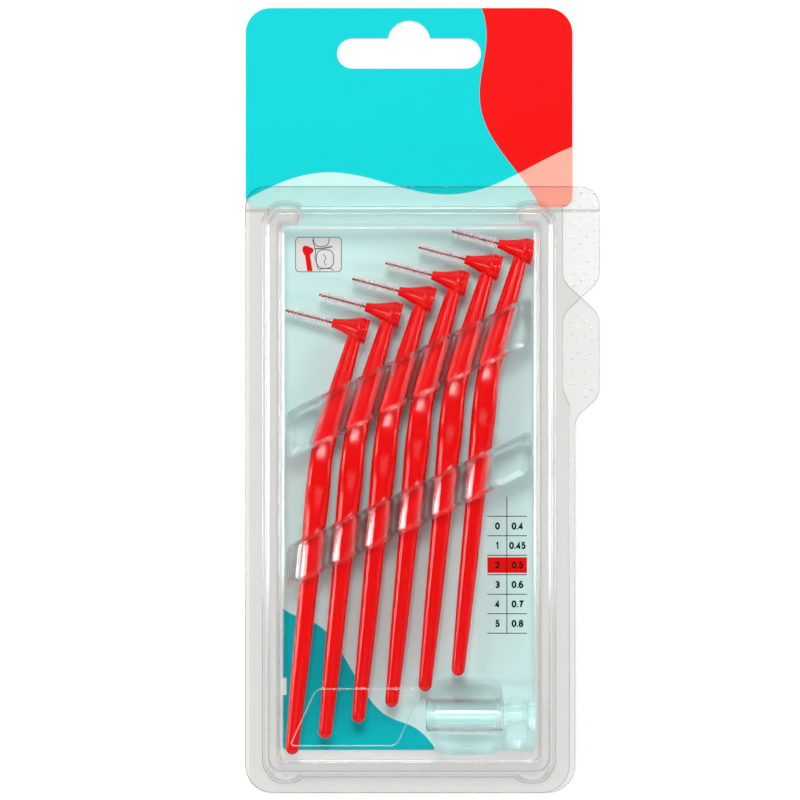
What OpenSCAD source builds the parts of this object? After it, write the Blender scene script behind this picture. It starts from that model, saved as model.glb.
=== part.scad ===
// Hanging pack of six angled interdental brushes: a hinged clear clamshell in two halves, a printed
// hang card, six angled brushes held in snap channels and a protective cap in its own pocket.
// The pack lies on its back. X runs across it, Y runs up towards the hang hole, Z comes out of its
// front. Modules are drawn from the card's centre line and the shell's bottom edge, and place()
// then puts the middle of the whole pack on the origin.

/* [Clear sheet] */
// Thickness of the clear formed sheet
sheet = 0.4; // [0.3:0.05:0.6]
// Depth of the closed pack from back to front
pack_depth = 14; // [12:0.5:20]
// Distance from the tray's foot to the folded hinge edge
hinge_margin = 3.8; // [2:0.1:8]
// Distance from the tray's foot to the free edge of the front half
front_margin = 3.1; // [2:0.1:8]
// Distance from the tray's foot to the free edge of the rear half
rear_margin = 4.4; // [2:0.1:8]
// Distance from the top of the tray to the flange's top edge
top_margin = 4.4; // [2:0.1:8]
// Radius of the flange's bottom corners
flange_bottom_radius = 6.2; // [3:0.1:10]
// Radius of the flange's top corner at the hinge
flange_top_radius = 4.5; // [2:0.1:8]

/* [Grip tabs] */
// Distance from the tray's foot to the tips of the two grip tabs
tab_margin = 9.8; // [6:0.1:16]
// Distance from the tray's foot to the edge cut back behind each tab
recess_margin = 1.6; // [1:0.1:3]
// Distance from the flange's top edge down to the height where the two tabs cross
tab_cross_drop = 24.7; // [15:0.1:40]
// Height of the slanted edge at the crossing
tab_slant = 7.6; // [4:0.1:12]
// Length of the rear tab below the crossing
rear_tab_drop = 22.1; // [15:0.1:35]
// Height of the sloped shoulder under the rear tab
rear_tab_shoulder = 4.6; // [2:0.1:8]
// Height of the short slant under the front recess
recess_slant = 3.4; // [2:0.1:6]
// Corner radius of the tabs
tab_radius = 4.4; // [2:0.1:6]
// Corner radius of the small bends beside the tabs
bend_radius = 2.4; // [1:0.1:4]

/* [Front tray] */
// Gap between the widest reach of the brushes and the inside of the tray's side wall
brush_side_gap = 0.45; // [0.2:0.01:1]
// Gap between the highest brush and the inside of the tray's top wall
brush_top_gap = 0.63; // [0.2:0.01:2]
// Gap between the first brush's tail and the inside of the tray's bottom wall
brush_foot_gap = 0.74; // [0.2:0.01:2]
// Distance from the shell's bottom edge to the foot of the tray
tray_foot = 3.5; // [2:0.1:8]
// Corner radius of the tray at its foot
tray_corner = 3.4; // [2:0.1:6]
// Gap between the top of the rim and the stepped ledge over it
ledge_gap = 0.8; // [0.3:0.05:1.5]
// Width of the stepped ledge
ledge_width = 3.5; // [2.5:0.1:5]
// How far each wall leans in between its foot and its top
wall_lean = 0.8; // [0.3:0.05:2]
// Plan radius of the upper wall's corners
upper_corner = 2; // [1:0.1:4]
// Rounding of the formed edges
edge_round = 0.7; // [0.3:0.05:1.5]
// Length of the swelling at each corner that receives the rear rim's snap
lobe_length = 9; // [6:0.1:14]
// How far each swelling stands out of the tray's end wall
lobe_swell = 1.3; // [0.6:0.05:2]
// Height of the corner swellings above the back of the pack
lobe_height = 4.4; // [3:0.1:5]
// Width of the blank raised panel at the bottom left
panel_width = 24.2; // [20:0.1:40]
// Height of the blank raised panel
panel_height = 12.8; // [8:0.1:20]
// How far the panel's upper edge is shifted sideways over its lower edge
panel_slant = 4.6; // [0:0.1:8]
// Radius of the panel's two round corners
panel_corner = 2.4; // [1:0.1:5]
// Radius of the panel's two tight corners
panel_tight_corner = 0.7; // [0.6:0.05:2]
// Distance from the top of the tray's left wall to the blank panel
panel_margin = 2.3; // [1:0.1:6]
// Distance from the upper wall's foot to the lower edge of the blank panel
panel_lift = 4.2; // [2:0.1:10]
// How far the blank panel stands out
panel_relief = 0.5; // [0.2:0.05:1]

/* [Rear half] */
// Gap between the rear half's rim and the tray that closes over it
rim_gap = 0.4; // [0.2:0.05:0.8]
// Width of the rim at its foot
rim_width = 3.2; // [2.6:0.05:4]
// Height of the rim above the back sheet
rim_height = 4; // [3:0.1:5]
// How far each side of the rim leans in
rim_lean = 0.45; // [0.2:0.05:0.8]
// Outer corner radius of the rim
rim_corner = 3.8; // [3.3:0.05:6]

/* [Hang card] */
// Thickness of the card
card_thickness = 0.4; // [0.3:0.05:0.6]
// Width of the header above the tray
header_width = 72.6; // [60:0.1:90]
// Height of the header
header_height = 44.2; // [30:0.1:60]
// Radius of the header's top corners
header_top_radius = 5.6; // [2:0.1:12]
// Radius of the header's bottom corners
header_bottom_radius = 2.4; // [1:0.1:5]
// Gap between the rim and the bottom edge of the header
header_gap = 0.6; // [0.3:0.05:1.5]
// Gap between the neck and the ends of the rim
neck_gap = 0.35; // [0.2:0.05:1]
// Distance from the side of the card inside the tray to the side of the neck
neck_inset = 4; // [3:0.1:12]
// Gap between each side of the card inside the tray and the rim
body_side_gap = 0.5; // [0.2:0.05:2]
// Gap between the card's bottom edge and the rim
body_bottom_gap = 2.1; // [0.3:0.1:6]
// Gap between the card's top edge inside the tray and the rim
body_gap = 0.4; // [0.2:0.05:1]
// Corner radius of the card inside the tray
body_radius = 1; // [0.4:0.1:4]
// Depth of the small notch in the card's left edge
side_notch_depth = 0.9; // [0.4:0.1:2]
// Height of the small notch
side_notch_height = 3.8; // [2:0.1:8]
// Distance from the card's bottom edge to the notch
side_notch_rise = 12.2; // [5:0.1:30]
// Length of one slit of the tear line
slit_length = 1.8; // [1:0.1:3]
// Distance from one slit to the next
slit_pitch = 2.6; // [2:0.1:4]
// Width of a slit
slit_width = 0.3; // [0.2:0.05:0.5]
// Number of slits
slit_count = 18; // [8:1:24]
// Distance from the card's top edge inside the tray down to the tear line
slit_drop = 0.8; // [0.5:0.1:3]

/* [Hang hole] */
// Width of the hang hole
slot_width = 32; // [28:0.1:36]
// Height of the hang hole's bar
slot_height = 6.7; // [5:0.1:9]
// Radius of the hang hole's middle dome
dome_radius = 4.8; // [3.5:0.1:6]
// Height of the dome's centre above the bar's centre line
dome_rise = 2.5; // [1:0.1:4]
// Distance from the top of the card to the bar's centre line
slot_drop = 10.1; // [8:0.1:20]

/* [Brush places] */
// Number of brushes
brush_count = 6; // [6:1:6]
// Gap between the grips of neighbouring brushes
brush_gap = 1.84; // [1.5:0.02:4]
// Step from one brush to the next, up the pack
pitch_up = 3.49; // [2:0.02:6]
// Distance from the centre line to the middle of the row of bends
bends_shift = 0.85; // [0:0.05:3]
// Gap between the last brush's tail and the cap's pocket
tail_gap = 0.3; // [0.2:0.05:2]
// Height of the brushes' middle plane above the back of the pack
brush_level = 7; // [6:0.1:10]

/* [Brush handle] */
// Length from the bend to the tail end
tail_length = 68.2; // [50:0.1:90]
// Length from the bend up to the axis of the head
neck_length = 27.3; // [20:0.1:40]
// Angle between the tail and the pack's height
tail_tilt = 5.7; // [0:0.1:12]
// Angle between the neck and the pack's height
neck_tilt = 16.4; // [12:0.1:30]
// Radius of the bend
handle_bend = 48; // [20:1:90]
// Width of the neck under the head
neck_top_width = 3.1; // [2.4:0.05:4]
// Width half way down the neck
neck_mid_width = 4; // [3:0.05:5]
// Width of the grip at the bend
bend_width = 5; // [4:0.05:5.6]
// How much wider the grip is than the bend
grip_swell = 0.5; // [0.1:0.05:1]
// Width under the grip
shank_width = 4.2; // [3:0.05:5]
// Width of the tail
tail_width = 2.9; // [2:0.05:4]
// Distance from the bend to the middle of the grip
grip_centre = 10; // [5:0.1:20]
// Distance from the bend to the place where the grip runs out
shank_start = 30; // [22:0.1:45]
// Depth of the handle as a share of its width
depth_share = 1.05; // [0.8:0.01:1.3]

/* [Brush head] */
// Angle between the wire and the pack's width
head_tilt = 14.6; // [0:0.1:30]
// Length of the head from its nose to its back
head_length = 8.1; // [6:0.1:12]
// Distance from the nose to the neck's axis
nose_reach = 5.7; // [4:0.1:8]
// Radius of the nose
nose_radius = 1.05; // [0.7:0.05:1.5]
// Radius of the back disc
disc_radius = 2.85; // [2:0.05:4]
// Thickness of the back disc
disc_thickness = 0.75; // [0.4:0.05:1.5]
// Depth of the groove in front of the disc
groove_depth = 0.22; // [0.1:0.02:0.5]
// Width of the groove in front of the disc
groove_width = 0.2; // [0.1:0.02:0.5]
// Length of the plain rim between the head's flare and its groove
disc_land = 1.25; // [0.4:0.05:2]
// Rounding of the nose and the disc
head_round = 0.25; // [0.1:0.05:0.5]
// How strongly the flare starts slowly, as a power
flare_power = 1.45; // [1:0.05:2.5]

/* [Wire and bristles] */
// Diameter of the steel wire
wire_diameter = 0.34; // [0.25:0.01:0.5]
// Diameter of the plastic coat that carries the bristles
coat_diameter = 0.58; // [0.4:0.01:0.9]
// Length of the wire outside the head
wire_length = 10.6; // [8:0.1:16]
// Length of the wire inside the head
wire_anchor = 5; // [3:0.1:7]
// Bare wire at the tip
tip_bare = 0.25; // [0.1:0.05:1]
// Bare coat beside the nose
nose_bare = 0.6; // [0.2:0.05:2]
// Diameter over the bristles
bristle_diameter = 2.7; // [1.8:0.05:5]
// Rows of bristles along the wire, with two bristles in each
bristle_rows = 40; // [25:1:41]

/* [Brush channels] */
// Height of the upper row of ribs, measured up the pack
upper_row_height = 10.9; // [7:0.1:14]
// Height of the lower row of ribs, measured up the pack
lower_row_height = 9.4; // [7:0.1:14]
// Distance from the line of the bends up to the upper row's middle
upper_row_lift = 6.3; // [4:0.1:12]
// Distance from the line of the bends down to the lower row's middle
lower_row_drop = 22.6; // [18:0.1:28]
// Distance from the top of the tray's side wall to the end of each row
row_margin = 1.3; // [0.8:0.1:4]
// Height of the ribs' tips above the back of the pack
rib_tip = 3.4; // [2.5:0.1:5]
// How far the sides of a row lean in
row_lean = 1.2; // [0.5:0.05:2]
// Corner radius at the ends of a row
row_corner = 1.3; // [0.6:0.05:3]
// Gap between the handles' corners and the upper row's channels
upper_channel_gap = 0.07; // [0.03:0.01:0.2]
// Gap between the handles' corners and the lower row's channels
lower_channel_gap = 0.15; // [0.1:0.01:0.2]
// How far the snap lips reach under a brush
snap_lip = 0.45; // [0.2:0.05:0.9]
// Length of each channel beyond its row
channel_margin = 4.5; // [2:0.1:8]

/* [Protective cap] */
// Outer diameter of the cap's barrel
cap_diameter = 7.3; // [6.6:0.1:9]
// Wall of the cap's barrel
cap_wall = 0.7; // [0.4:0.05:1.2]
// Length of the barrel
cap_barrel = 17.1; // [14:0.1:24]
// Thickness of the closed end of the barrel
cap_end_wall = 1.3; // [0.6:0.1:3]
// Diameter of the solid stem behind the barrel
cap_stem_diameter = 4.5; // [3:0.1:6]
// Length of the stem
cap_stem = 5.2; // [3:0.1:8]
// Diameter of the end collar
cap_collar_diameter = 6.3; // [5:0.1:7.2]
// Length of the end collar
cap_collar = 2.1; // [1:0.1:4]
// Rounding of the cap's edges
cap_round = 0.5; // [0.2:0.05:1]
// Gap between the cap's collar and the rim
cap_end_gap = 0.4; // [0.2:0.05:1]
// Distance from the upper wall's foot to the cap's pocket
pocket_lift = 2.1; // [1:0.1:6]
// Gap between the cap and the card
cap_floor_gap = 0.15; // [0.05:0.05:0.3]
// Gap between the cap and its pocket
cap_gap = 0.2; // [0.1:0.02:0.3]
// Height of the pocket's lips above the back of the pack
pocket_tip = 3.4; // [2:0.1:4]
// Gap between the cap's pocket and the tail beside it
tail_side_gap = 0.36; // [0.2:0.02:1]
// Height of the pocket, measured up the pack
pocket_height = 17; // [12:0.1:22]
// Corner radius of the pocket
pocket_corner = 2.6; // [1:0.1:5]
// How much shorter the stop pocket is than the stem
stop_trim = 0.3; // [0.1:0.05:1]
// Height of the stop pocket, measured up the pack
stop_height = 11.2; // [8:0.1:16]
// How far the stop pocket's middle lies under the cap's axis
stop_drop = 1; // [0:0.1:3]
// Wall left standing between the pocket and the stop pocket
pocket_wall = 0.8; // [0.4:0.05:1.5]

/* [Hidden] */
// How far cutting shapes run past what they cut
overrun = sheet * 2.5;
// A sheet thin enough to stand for one level of a blended form
level = sheet * 0.05;
half_share = 1 / 2;
full_turn = 360;
handle_sides = 16;
section_power = 2.5;
coat_sides = 8;
fine = 64;
formed = 24;
edge_steps = 12;
corner_steps = 7;
pit_steps = 4;
channel_steps = 14;
flare_steps = 8;

card_level = sheet;
card_top = card_level + card_thickness;
inner_height = pack_depth - sheet;
ledge_height = sheet + rim_height + ledge_gap + sheet;
ledge_inner = ledge_height - sheet;
upper_foot = tray_foot + ledge_width;
grip_width = bend_width + grip_swell;
pitch_across = grip_width + brush_gap;
row_slope = pitch_up / pitch_across;
first_bend_shift = (brush_count - 1) / 2 * pitch_across + bends_shift;
last_bend_shift = (brush_count - 1) * pitch_across - first_bend_shift;
last_bend_lift = (brush_count - 1) * pitch_up;
corner_reach_share = pow(half_share, 1 / section_power) * norm([1, depth_share]);
upper_channel_width = bend_width * corner_reach_share + 2 * upper_channel_gap;
lower_channel_width = bend_width * corner_reach_share + 2 * lower_channel_gap;
flare_length = head_length - disc_thickness - groove_width - disc_land - 2 * head_round;

// The cap's pocket stands on the tray's foot, and the brushes' tails end above both
pocket_top = upper_foot + pocket_lift + pocket_height;
cap_rise = pocket_top - pocket_height / 2;
tail_reach = tail_length * cos(tail_tilt);
first_bend_rise = tail_reach + max(upper_foot + sheet + wall_lean + brush_foot_gap,
    pocket_top + tail_gap - last_bend_lift);

// How far the brushes reach to both sides and up, which sets the tray's size
wire_reach = nose_reach + wire_length;
neck_shift = neck_length * sin(neck_tilt);
left_reach = first_bend_shift - neck_shift + wire_reach * cos(head_tilt);
right_reach = last_bend_shift + neck_shift + (head_length - nose_reach) * cos(head_tilt)
    + disc_radius * sin(head_tilt);
brush_top = first_bend_rise + last_bend_lift + neck_length * cos(neck_tilt)
    + wire_reach * sin(head_tilt) + bristle_diameter / 2 * cos(head_tilt);
tray_half = max(left_reach, right_reach) + brush_side_gap + sheet + ledge_width;
tray_top = brush_top + brush_top_gap + sheet + ledge_width;
tray_length = tray_top - tray_foot;
upper_half = tray_half - ledge_width;
upper_length = tray_length - 2 * ledge_width;

hinge_reach = tray_half + hinge_margin;
front_reach = tray_half + front_margin;
rear_reach = tray_half + rear_margin;
tab_reach = tray_half + tab_margin;
tab_recess = tray_half + recess_margin;
flange_height = tray_top + top_margin;
tab_cross = flange_height - tab_cross_drop;

rim_edge = tray_half - sheet - rim_gap;
rim_top_edge = tray_top - sheet - rim_gap;
rim_low_edge = tray_foot + sheet + rim_gap;
raised_start = rim_top_edge;
raised_strip = flange_height - raised_start;
clip_half = tab_reach + overrun;

body_width = 2 * (rim_edge - rim_width - body_side_gap);
body_top = rim_top_edge - rim_width - body_gap;
body_bottom = rim_low_edge + rim_width + body_bottom_gap;
body_height = body_top - body_bottom;
neck_width = body_width - 2 * neck_inset;
header_bottom = rim_top_edge + header_gap;
neck_height = header_bottom - body_top;
header_top = header_bottom + header_height;
pack_middle = [(tab_reach - hinge_reach) / 2, header_top / 2];

panel_shift = upper_half - wall_lean - panel_margin - (panel_width + panel_slant) / 2;
panel_rise = upper_foot + panel_lift + panel_height / 2;
upper_row_rise = first_bend_rise + first_bend_shift * row_slope + upper_row_lift;
lower_row_rise = first_bend_rise + first_bend_shift * row_slope - lower_row_drop;
row_reach = upper_half - wall_lean - row_margin;

cap_radius = cap_diameter / 2;
cap_bore = cap_diameter - 2 * cap_wall;
cap_bore_depth = cap_barrel - cap_end_wall;
cap_level = card_top + cap_floor_gap + cap_radius;
cap_shift = rim_edge - rim_width - cap_end_gap - cap_barrel - cap_stem - cap_collar;
pocket_left = last_bend_shift - pitch_across - tail_length * sin(tail_tilt) + tail_width / 2 + tail_side_gap;
pocket_end = cap_shift + cap_barrel - pocket_wall / 2;
stop_start = pocket_end + pocket_wall;
stop_width = cap_stem - stop_trim;

// Where the neck, grip and shank are cut into cross sections, as shares of their lengths
neck_shares = [0, 0.16, 0.32, 0.48, 0.66, 0.82];
grip_shares = [-0.02, 0.3, 0.64, 1, 1.4, 1.9, 2.4];
shank_shares = [0, 0.34, 0.68, 1];
tail_angles = [30, 52, 70, 82];
slim_neck_share = 0.93;
mid_neck_share = 0.6;
low_neck_share = 0.18;
grip_top_share = 0.3;
corner_share = 0.8;

// Width of the handle at distances from its bend
handle_widths = [
    [-neck_length, neck_top_width],
    [-neck_length * slim_neck_share, neck_top_width],
    [-neck_length * mid_neck_share, neck_mid_width],
    [-neck_length * low_neck_share, bend_width],
    [grip_centre * grip_top_share, bend_width],
    [grip_centre, grip_width],
    [grip_centre * 2, bend_width],
    [shank_start, shank_width],
    [(shank_start + tail_length) / 2, (2 * shank_width + tail_width) / 3],
    [tail_length, tail_width]
];
handle_stations = concat(
    [for (share = neck_shares) -neck_length * (1 - share)],
    [for (share = grip_shares) grip_centre * share],
    [for (share = shank_shares) shank_start + (tail_length - tail_width - shank_start) * share],
    [for (a = tail_angles) tail_length - tail_width * half_share * (1 - sin(a))]
);

turn = neck_tilt - tail_tilt;
bend_tangent = handle_bend * tan(turn / 2);
neck_heading = 270 - neck_tilt;

function flat(p, z) = [p[0], p[1], z];
function unit(v) = v / norm(v);
function wrap(a) = a - full_turn * round(a / full_turn);
function angle_of(v) = atan2(v[1], v[0]);

// Points of the arc that rounds the corner at b, between the edges to a and c
function fillet(a, b, c, r, steps) =
    let (
        u = unit(a - b),
        v = unit(c - b),
        half = acos(u * v) / 2,
        centre = b + unit(u + v) * r / sin(half),
        start = angle_of(b + u * r / tan(half) - centre),
        sweep = wrap(angle_of(b + v * r / tan(half) - centre) - start)
    )
    [for (i = [0 : steps]) centre + r * [cos(start + sweep * i / steps), sin(start + sweep * i / steps)]];

// A closed outline whose corners [x, y, r] are all rounded
function outline(corners, steps = corner_steps) =
    let (n = len(corners), p = [for (c = corners) [c[0], c[1]]])
    [for (i = [0 : n - 1])
        each fillet(p[(i + n - 1) % n], p[i], p[(i + 1) % n], corners[i][2], steps)];

// Heading, place and width of the handle at a distance s from its bend
function heading(s) =
    neck_heading + turn * min(1, max(0, (s + bend_tangent) / (2 * bend_tangent)));
function toward(a) = [cos(a), sin(a)];
function across(a) = [-sin(a), cos(a)];
function spine(s) =
    s < -bend_tangent ? s * toward(neck_heading)
    : s > bend_tangent ? s * toward(neck_heading + turn)
    : -bend_tangent * toward(neck_heading)
      + handle_bend * (across(neck_heading) - across(heading(s)));
function dome(s) =
    let (r = tail_width * half_share, t = (s - tail_length + r) / r)
    t <= 0 ? 1 : sqrt(max(0, 1 - t * t));
function half_width(s) = lookup(s, handle_widths) * half_share;
function squarish(v) = sign(v) * pow(abs(v), 2 / section_power);

// One cross section of the handle, grown by g
function section(s, g, sides) =
    [for (k = [0 : sides - 1])
        let (
            a = full_turn * k / sides,
            w = half_width(s) * dome(s) + g,
            d = half_width(s) * dome(s) * depth_share + g,
            c = spine(s) + across(heading(s)) * w * squarish(cos(a))
        )
        flat(c, d * squarish(sin(a)))];

// Triangles that join rings of points into a closed skin
function skin_faces(rings, sides) = concat(
    [[for (k = [0 : sides - 1]) k]],
    [[for (k = [sides - 1 : -1 : 0]) (rings - 1) * sides + k]],
    [for (i = [0 : rings - 2], k = [0 : sides - 1])
        let (m = (k + 1) % sides)
        each [
            [i * sides + k, (i + 1) * sides + k, (i + 1) * sides + m],
            [i * sides + k, (i + 1) * sides + m, i * sides + m]
        ]]
);

module skin(stations, g, sides) {
    rings = [for (s = stations) each section(s, g, sides)];
    polyhedron(points = rings, faces = skin_faces(len(stations), sides));
}

module place() {
    translate([-pack_middle[0], -pack_middle[1], 0])
        children();
}

// The corners of a rectangle that stands on y0, inset by d
module at_corners(half_x, y0, length, d) {
    for (x = [-half_x + d, half_x - d])
        for (y = [y0 + d, y0 + length - d])
            translate([x, y, 0])
                children();
}

// A blended level with plan radius r
module soft_disc(r) {
    cylinder(r = r, h = level, $fn = formed);
}

// The rounded rim at the top of a formed post
module soft_top(r, e) {
    rotate_extrude($fn = formed)
        union() {
            square([r - e, e]);
            translate([r - e, 0])
                intersection() {
                    circle(r = e, $fn = edge_steps);
                    square(e);
                }
        }
}

// A drafted and rounded form: a foot outline that leans in towards its top
module formed_block(half_x, y0, length, foot_z, top_z, corner, lean, e) {
    hull() {
        at_corners(half_x, y0, length, corner)
            translate([0, 0, foot_z])
                soft_disc(corner);
        at_corners(half_x - lean, y0 + lean, length - 2 * lean, corner)
            translate([0, 0, top_z - e])
                soft_top(corner, e);
    }
}

// The blank panel: a slanted plate with two round and two tight corners
module panel_form(g) {
    translate([-panel_shift, panel_rise, 0])
        hull()
            for (x = [-1, 1], y = [-1, 1]) {
                corner = x * y < 0 ? panel_corner : panel_tight_corner;
                translate([x * (panel_width / 2 - corner) + y * panel_slant / 2,
                    y * (panel_height / 2 - corner), inner_height - sheet]) {
                    cylinder(r = corner, h = sheet, $fn = formed);
                    cylinder(r = corner - panel_relief * half_share, h = sheet + panel_relief + g - level,
                        $fn = formed);
                }
            }
}

// The tray's forms, as the inside of the sheet for g = 0 and as its outside for g = sheet
module tray_forms(g, foot_z) {
    inset = sheet - g;
    formed_block(tray_half - inset, tray_foot + inset, tray_length - 2 * inset,
        foot_z, ledge_inner + g, tray_corner - inset, wall_lean, edge_round + g);
    formed_block(upper_half - inset, upper_foot + inset, upper_length - 2 * inset,
        foot_z, inner_height + g, upper_corner - inset, wall_lean, edge_round + g);
    panel_form(g);
    for (side = [-1, 1])
        translate([side * (tray_half - wall_lean - lobe_length / 2), 0, 0])
            formed_block(lobe_length / 2 - inset, tray_foot - lobe_swell + inset,
                tray_length + 2 * lobe_swell - 2 * inset, foot_z, lobe_height - sheet + g,
                tray_corner - inset, wall_lean, edge_round + g);
}

// A pit whose rounded floor [half x, half y] lies at tip and whose walls lean out to the front face
module pit(floor_half, tip, lean, corner) {
    depth = pack_depth + overrun - tip;
    spread = lean * depth / (pack_depth - tip);
    low = floor_half - [lean, lean];
    translate([0, 0, tip])
        linear_extrude(height = depth, slices = 1, scale = [1 + spread / low[0], 1 + spread / low[1]])
            polygon(outline([
                [-low[0], -low[1], corner],
                [low[0], -low[1], corner],
                [low[0], low[1], corner],
                [-low[0], low[1], corner]
            ], pit_steps));
}

// One pressed-in row, slanted with the brushes and shrunk by g
module row_form(rise, height, g) {
    multmatrix([[1, 0, 0, 0], [row_slope, 1, 0, rise], [0, 0, 1, 0]])
        pit([row_reach - g, height / 2 - g * norm([1, row_slope])], rib_tip + g, row_lean, row_corner);
}

// Distance along the handle at which a row's middle crosses the first brush
function row_station(rise) =
    let (
        drop = first_bend_rise - (rise - first_bend_shift * row_slope),
        tilt = drop < 0 ? neck_tilt : tail_tilt
    )
    drop / (cos(tilt) - row_slope * sin(tilt));

// Cross section of a channel: an arch over the brush whose lips close in to the mouth's half width
function channel_points(radius, mouth) =
    let (low = acos(mouth / radius), sweep = full_turn / 2 + 2 * low)
    concat(
        [for (k = [0 : channel_steps])
            radius * [cos(sweep * k / channel_steps - low), sin(sweep * k / channel_steps - low)]],
        [[-mouth, -brush_level], [mouth, -brush_level]]
    );

// The straight snap channel over one brush where it crosses a row, grown by g
module channel(row, g) {
    middle = row_station(row[0]);
    reach = row[1] / 2 + channel_margin;
    radius = row[2] / 2 + g;
    mouth = g > 0 ? radius : radius - snap_lip;
    translate(flat(spine(middle), 0))
        rotate([90, 0, 90 + heading(middle)])
            linear_extrude(height = 2 * reach, center = true)
                polygon(channel_points(radius, mouth));
}

module at_brush(i) {
    translate([-first_bend_shift + i * pitch_across, first_bend_rise + i * pitch_up, brush_level])
        children();
}

// The pressed-in rows, with the brushes' channels left open, shrunk by g
module rows(g) {
    upper = [upper_row_rise, upper_row_height, upper_channel_width];
    lower = [lower_row_rise, lower_row_height, lower_channel_width];
    for (row = [upper, lower])
        difference() {
            row_form(row[0], row[1], g);
            for (i = [0 : brush_count - 1])
                at_brush(i)
                    channel(row, g);
        }
}

// A pressed-in pocket from x0 to x1, shrunk by g
module pocket_form(x0, x1, y_mid, height, tip, g) {
    half = [(x1 - x0) / 2 - g, height / 2 - g];
    lean = row_lean * half_share;
    translate([(x0 + x1) / 2, y_mid, 0])
        pit(half, tip + g, lean, min(pocket_corner, (half[0] - lean) * corner_share));
}

// The cap's pocket with the arch over its barrel, and the stop pocket over its stem
module pockets(g) {
    arch = cap_radius + cap_gap + g;
    mouth = arch - snap_lip;
    difference() {
        pocket_form(pocket_left, pocket_end, cap_rise, pocket_height, pocket_tip, g);
        translate([cap_shift, cap_rise, cap_level])
            rotate([0, 90, 0])
                cylinder(r = arch, h = cap_barrel + overrun, $fn = formed);
        translate([cap_shift, cap_rise - mouth, 0])
            cube([cap_barrel + overrun, 2 * mouth, cap_level]);
    }
    pocket_form(stop_start, stop_start + stop_width, cap_rise - stop_drop, stop_height,
        cap_level + cap_stem_diameter / 2 + cap_gap, g);
}

// Outline of the front flange with the upper grip tab
module front_outline() {
    polygon(outline([
        [-hinge_reach, 0, flange_bottom_radius],
        [front_reach, 0, flange_bottom_radius],
        [front_reach, tab_cross - rear_tab_drop - recess_slant / 2, bend_radius],
        [tab_recess, tab_cross - rear_tab_drop + recess_slant / 2, bend_radius],
        [tab_recess, tab_cross - tab_slant / 2, tab_radius],
        [tab_reach, tab_cross + tab_slant / 2, tab_radius],
        [tab_reach, flange_height, tab_radius],
        [-hinge_reach, flange_height, flange_top_radius]
    ]));
}

// Outline of the rear flange with the lower grip tab
module rear_outline() {
    polygon(outline([
        [-hinge_reach, 0, flange_bottom_radius],
        [rear_reach, 0, flange_bottom_radius],
        [rear_reach, tab_cross - rear_tab_drop - rear_tab_shoulder, tab_radius],
        [tab_reach, tab_cross - rear_tab_drop, tab_radius],
        [tab_reach, tab_cross - tab_slant / 2, tab_radius],
        [tab_recess, tab_cross + tab_slant / 2, tab_radius],
        [tab_recess, flange_height, bend_radius],
        [-hinge_reach, flange_height, flange_top_radius]
    ]));
}

module front_shell() {
    color([0.88, 0.93, 0.93, 0.35])
        place()
            difference() {
                union() {
                    translate([0, 0, card_level])
                        linear_extrude(height = sheet)
                            intersection() {
                                front_outline();
                                translate([-clip_half, -overrun])
                                    square([2 * clip_half, raised_start + overrun]);
                            }
                    translate([0, 0, card_top])
                        linear_extrude(height = sheet)
                            intersection() {
                                front_outline();
                                translate([-clip_half, raised_start - sheet])
                                    square([2 * clip_half, raised_strip + sheet + overrun]);
                            }
                    difference() {
                        tray_forms(sheet, card_level);
                        rows(sheet);
                        pockets(sheet);
                    }
                }
                difference() {
                    tray_forms(0, -overrun);
                    rows(0);
                    pockets(0);
                }
                translate([-clip_half, raised_start, -overrun])
                    cube([2 * clip_half, raised_strip + overrun, card_top + overrun]);
            }
}

// Cross section of the rim, leaning in on both sides, drawn from its own middle line
module rim_section(g, base) {
    w = rim_width / 2 + g;
    h = sheet + rim_height + g;
    polygon([[-w, base], [w, base], [w - rim_lean, h], [-w + rim_lean, h]]);
}

module rim_straight(length, g, base) {
    rotate([90, 0, 90])
        linear_extrude(height = length)
            rim_section(g, base);
}

module rim_turn(g, base) {
    rotate_extrude(angle = 90, $fn = fine)
        translate([rim_corner - rim_width / 2, 0])
            rim_section(g, base);
}

module rim_end(g, base) {
    rotate_extrude($fn = fine)
        intersection() {
            rim_section(g, base);
            translate([0, base])
                square([rim_width, rim_height + 2 * sheet - base]);
        }
}

// The rim's run: down both sides, along the bottom and a short way in at the top
module rim_run(g, base) {
    mid = rim_edge - rim_width / 2;
    low = rim_low_edge + rim_width / 2;
    high = rim_top_edge - rim_width / 2;
    bend = rim_corner - rim_width / 2;
    stop = neck_width / 2 + neck_gap + rim_width / 2;
    translate([-mid + bend, low, 0])
        rim_straight(2 * (mid - bend), g, base);
    for (side = [0, 1])
        mirror([side, 0, 0]) {
            translate([mid, low + bend, 0])
                rotate([0, 0, 90])
                    rim_straight(high - low - 2 * bend, g, base);
            translate([mid - bend, high - bend, 0])
                rim_turn(g, base);
            translate([mid - bend, low + bend, 0])
                rotate([0, 0, -90])
                    rim_turn(g, base);
            translate([stop, high, 0])
                rim_straight(mid - bend - stop, g, base);
            translate([stop, high, 0])
                rim_end(g, base);
        }
}

module rear_shell() {
    color([0.86, 0.9, 0.9, 0.35])
        place()
            difference() {
                union() {
                    linear_extrude(height = sheet)
                        rear_outline();
                    rim_run(0, 0);
                }
                rim_run(-sheet, -overrun);
            }
}

// A flat rounded rectangle with true arcs, centred on x = 0 and standing on y0
module round_plate(width, y0, height, r) {
    translate([-width / 2, y0 + r])
        square([width, height - 2 * r]);
    translate([-width / 2 + r, y0])
        square([width - 2 * r, height]);
    for (x = [-width / 2 + r, width / 2 - r])
        for (y = [y0 + r, y0 + height - r])
            translate([x, y])
                circle(r = r, $fn = fine);
}

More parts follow.
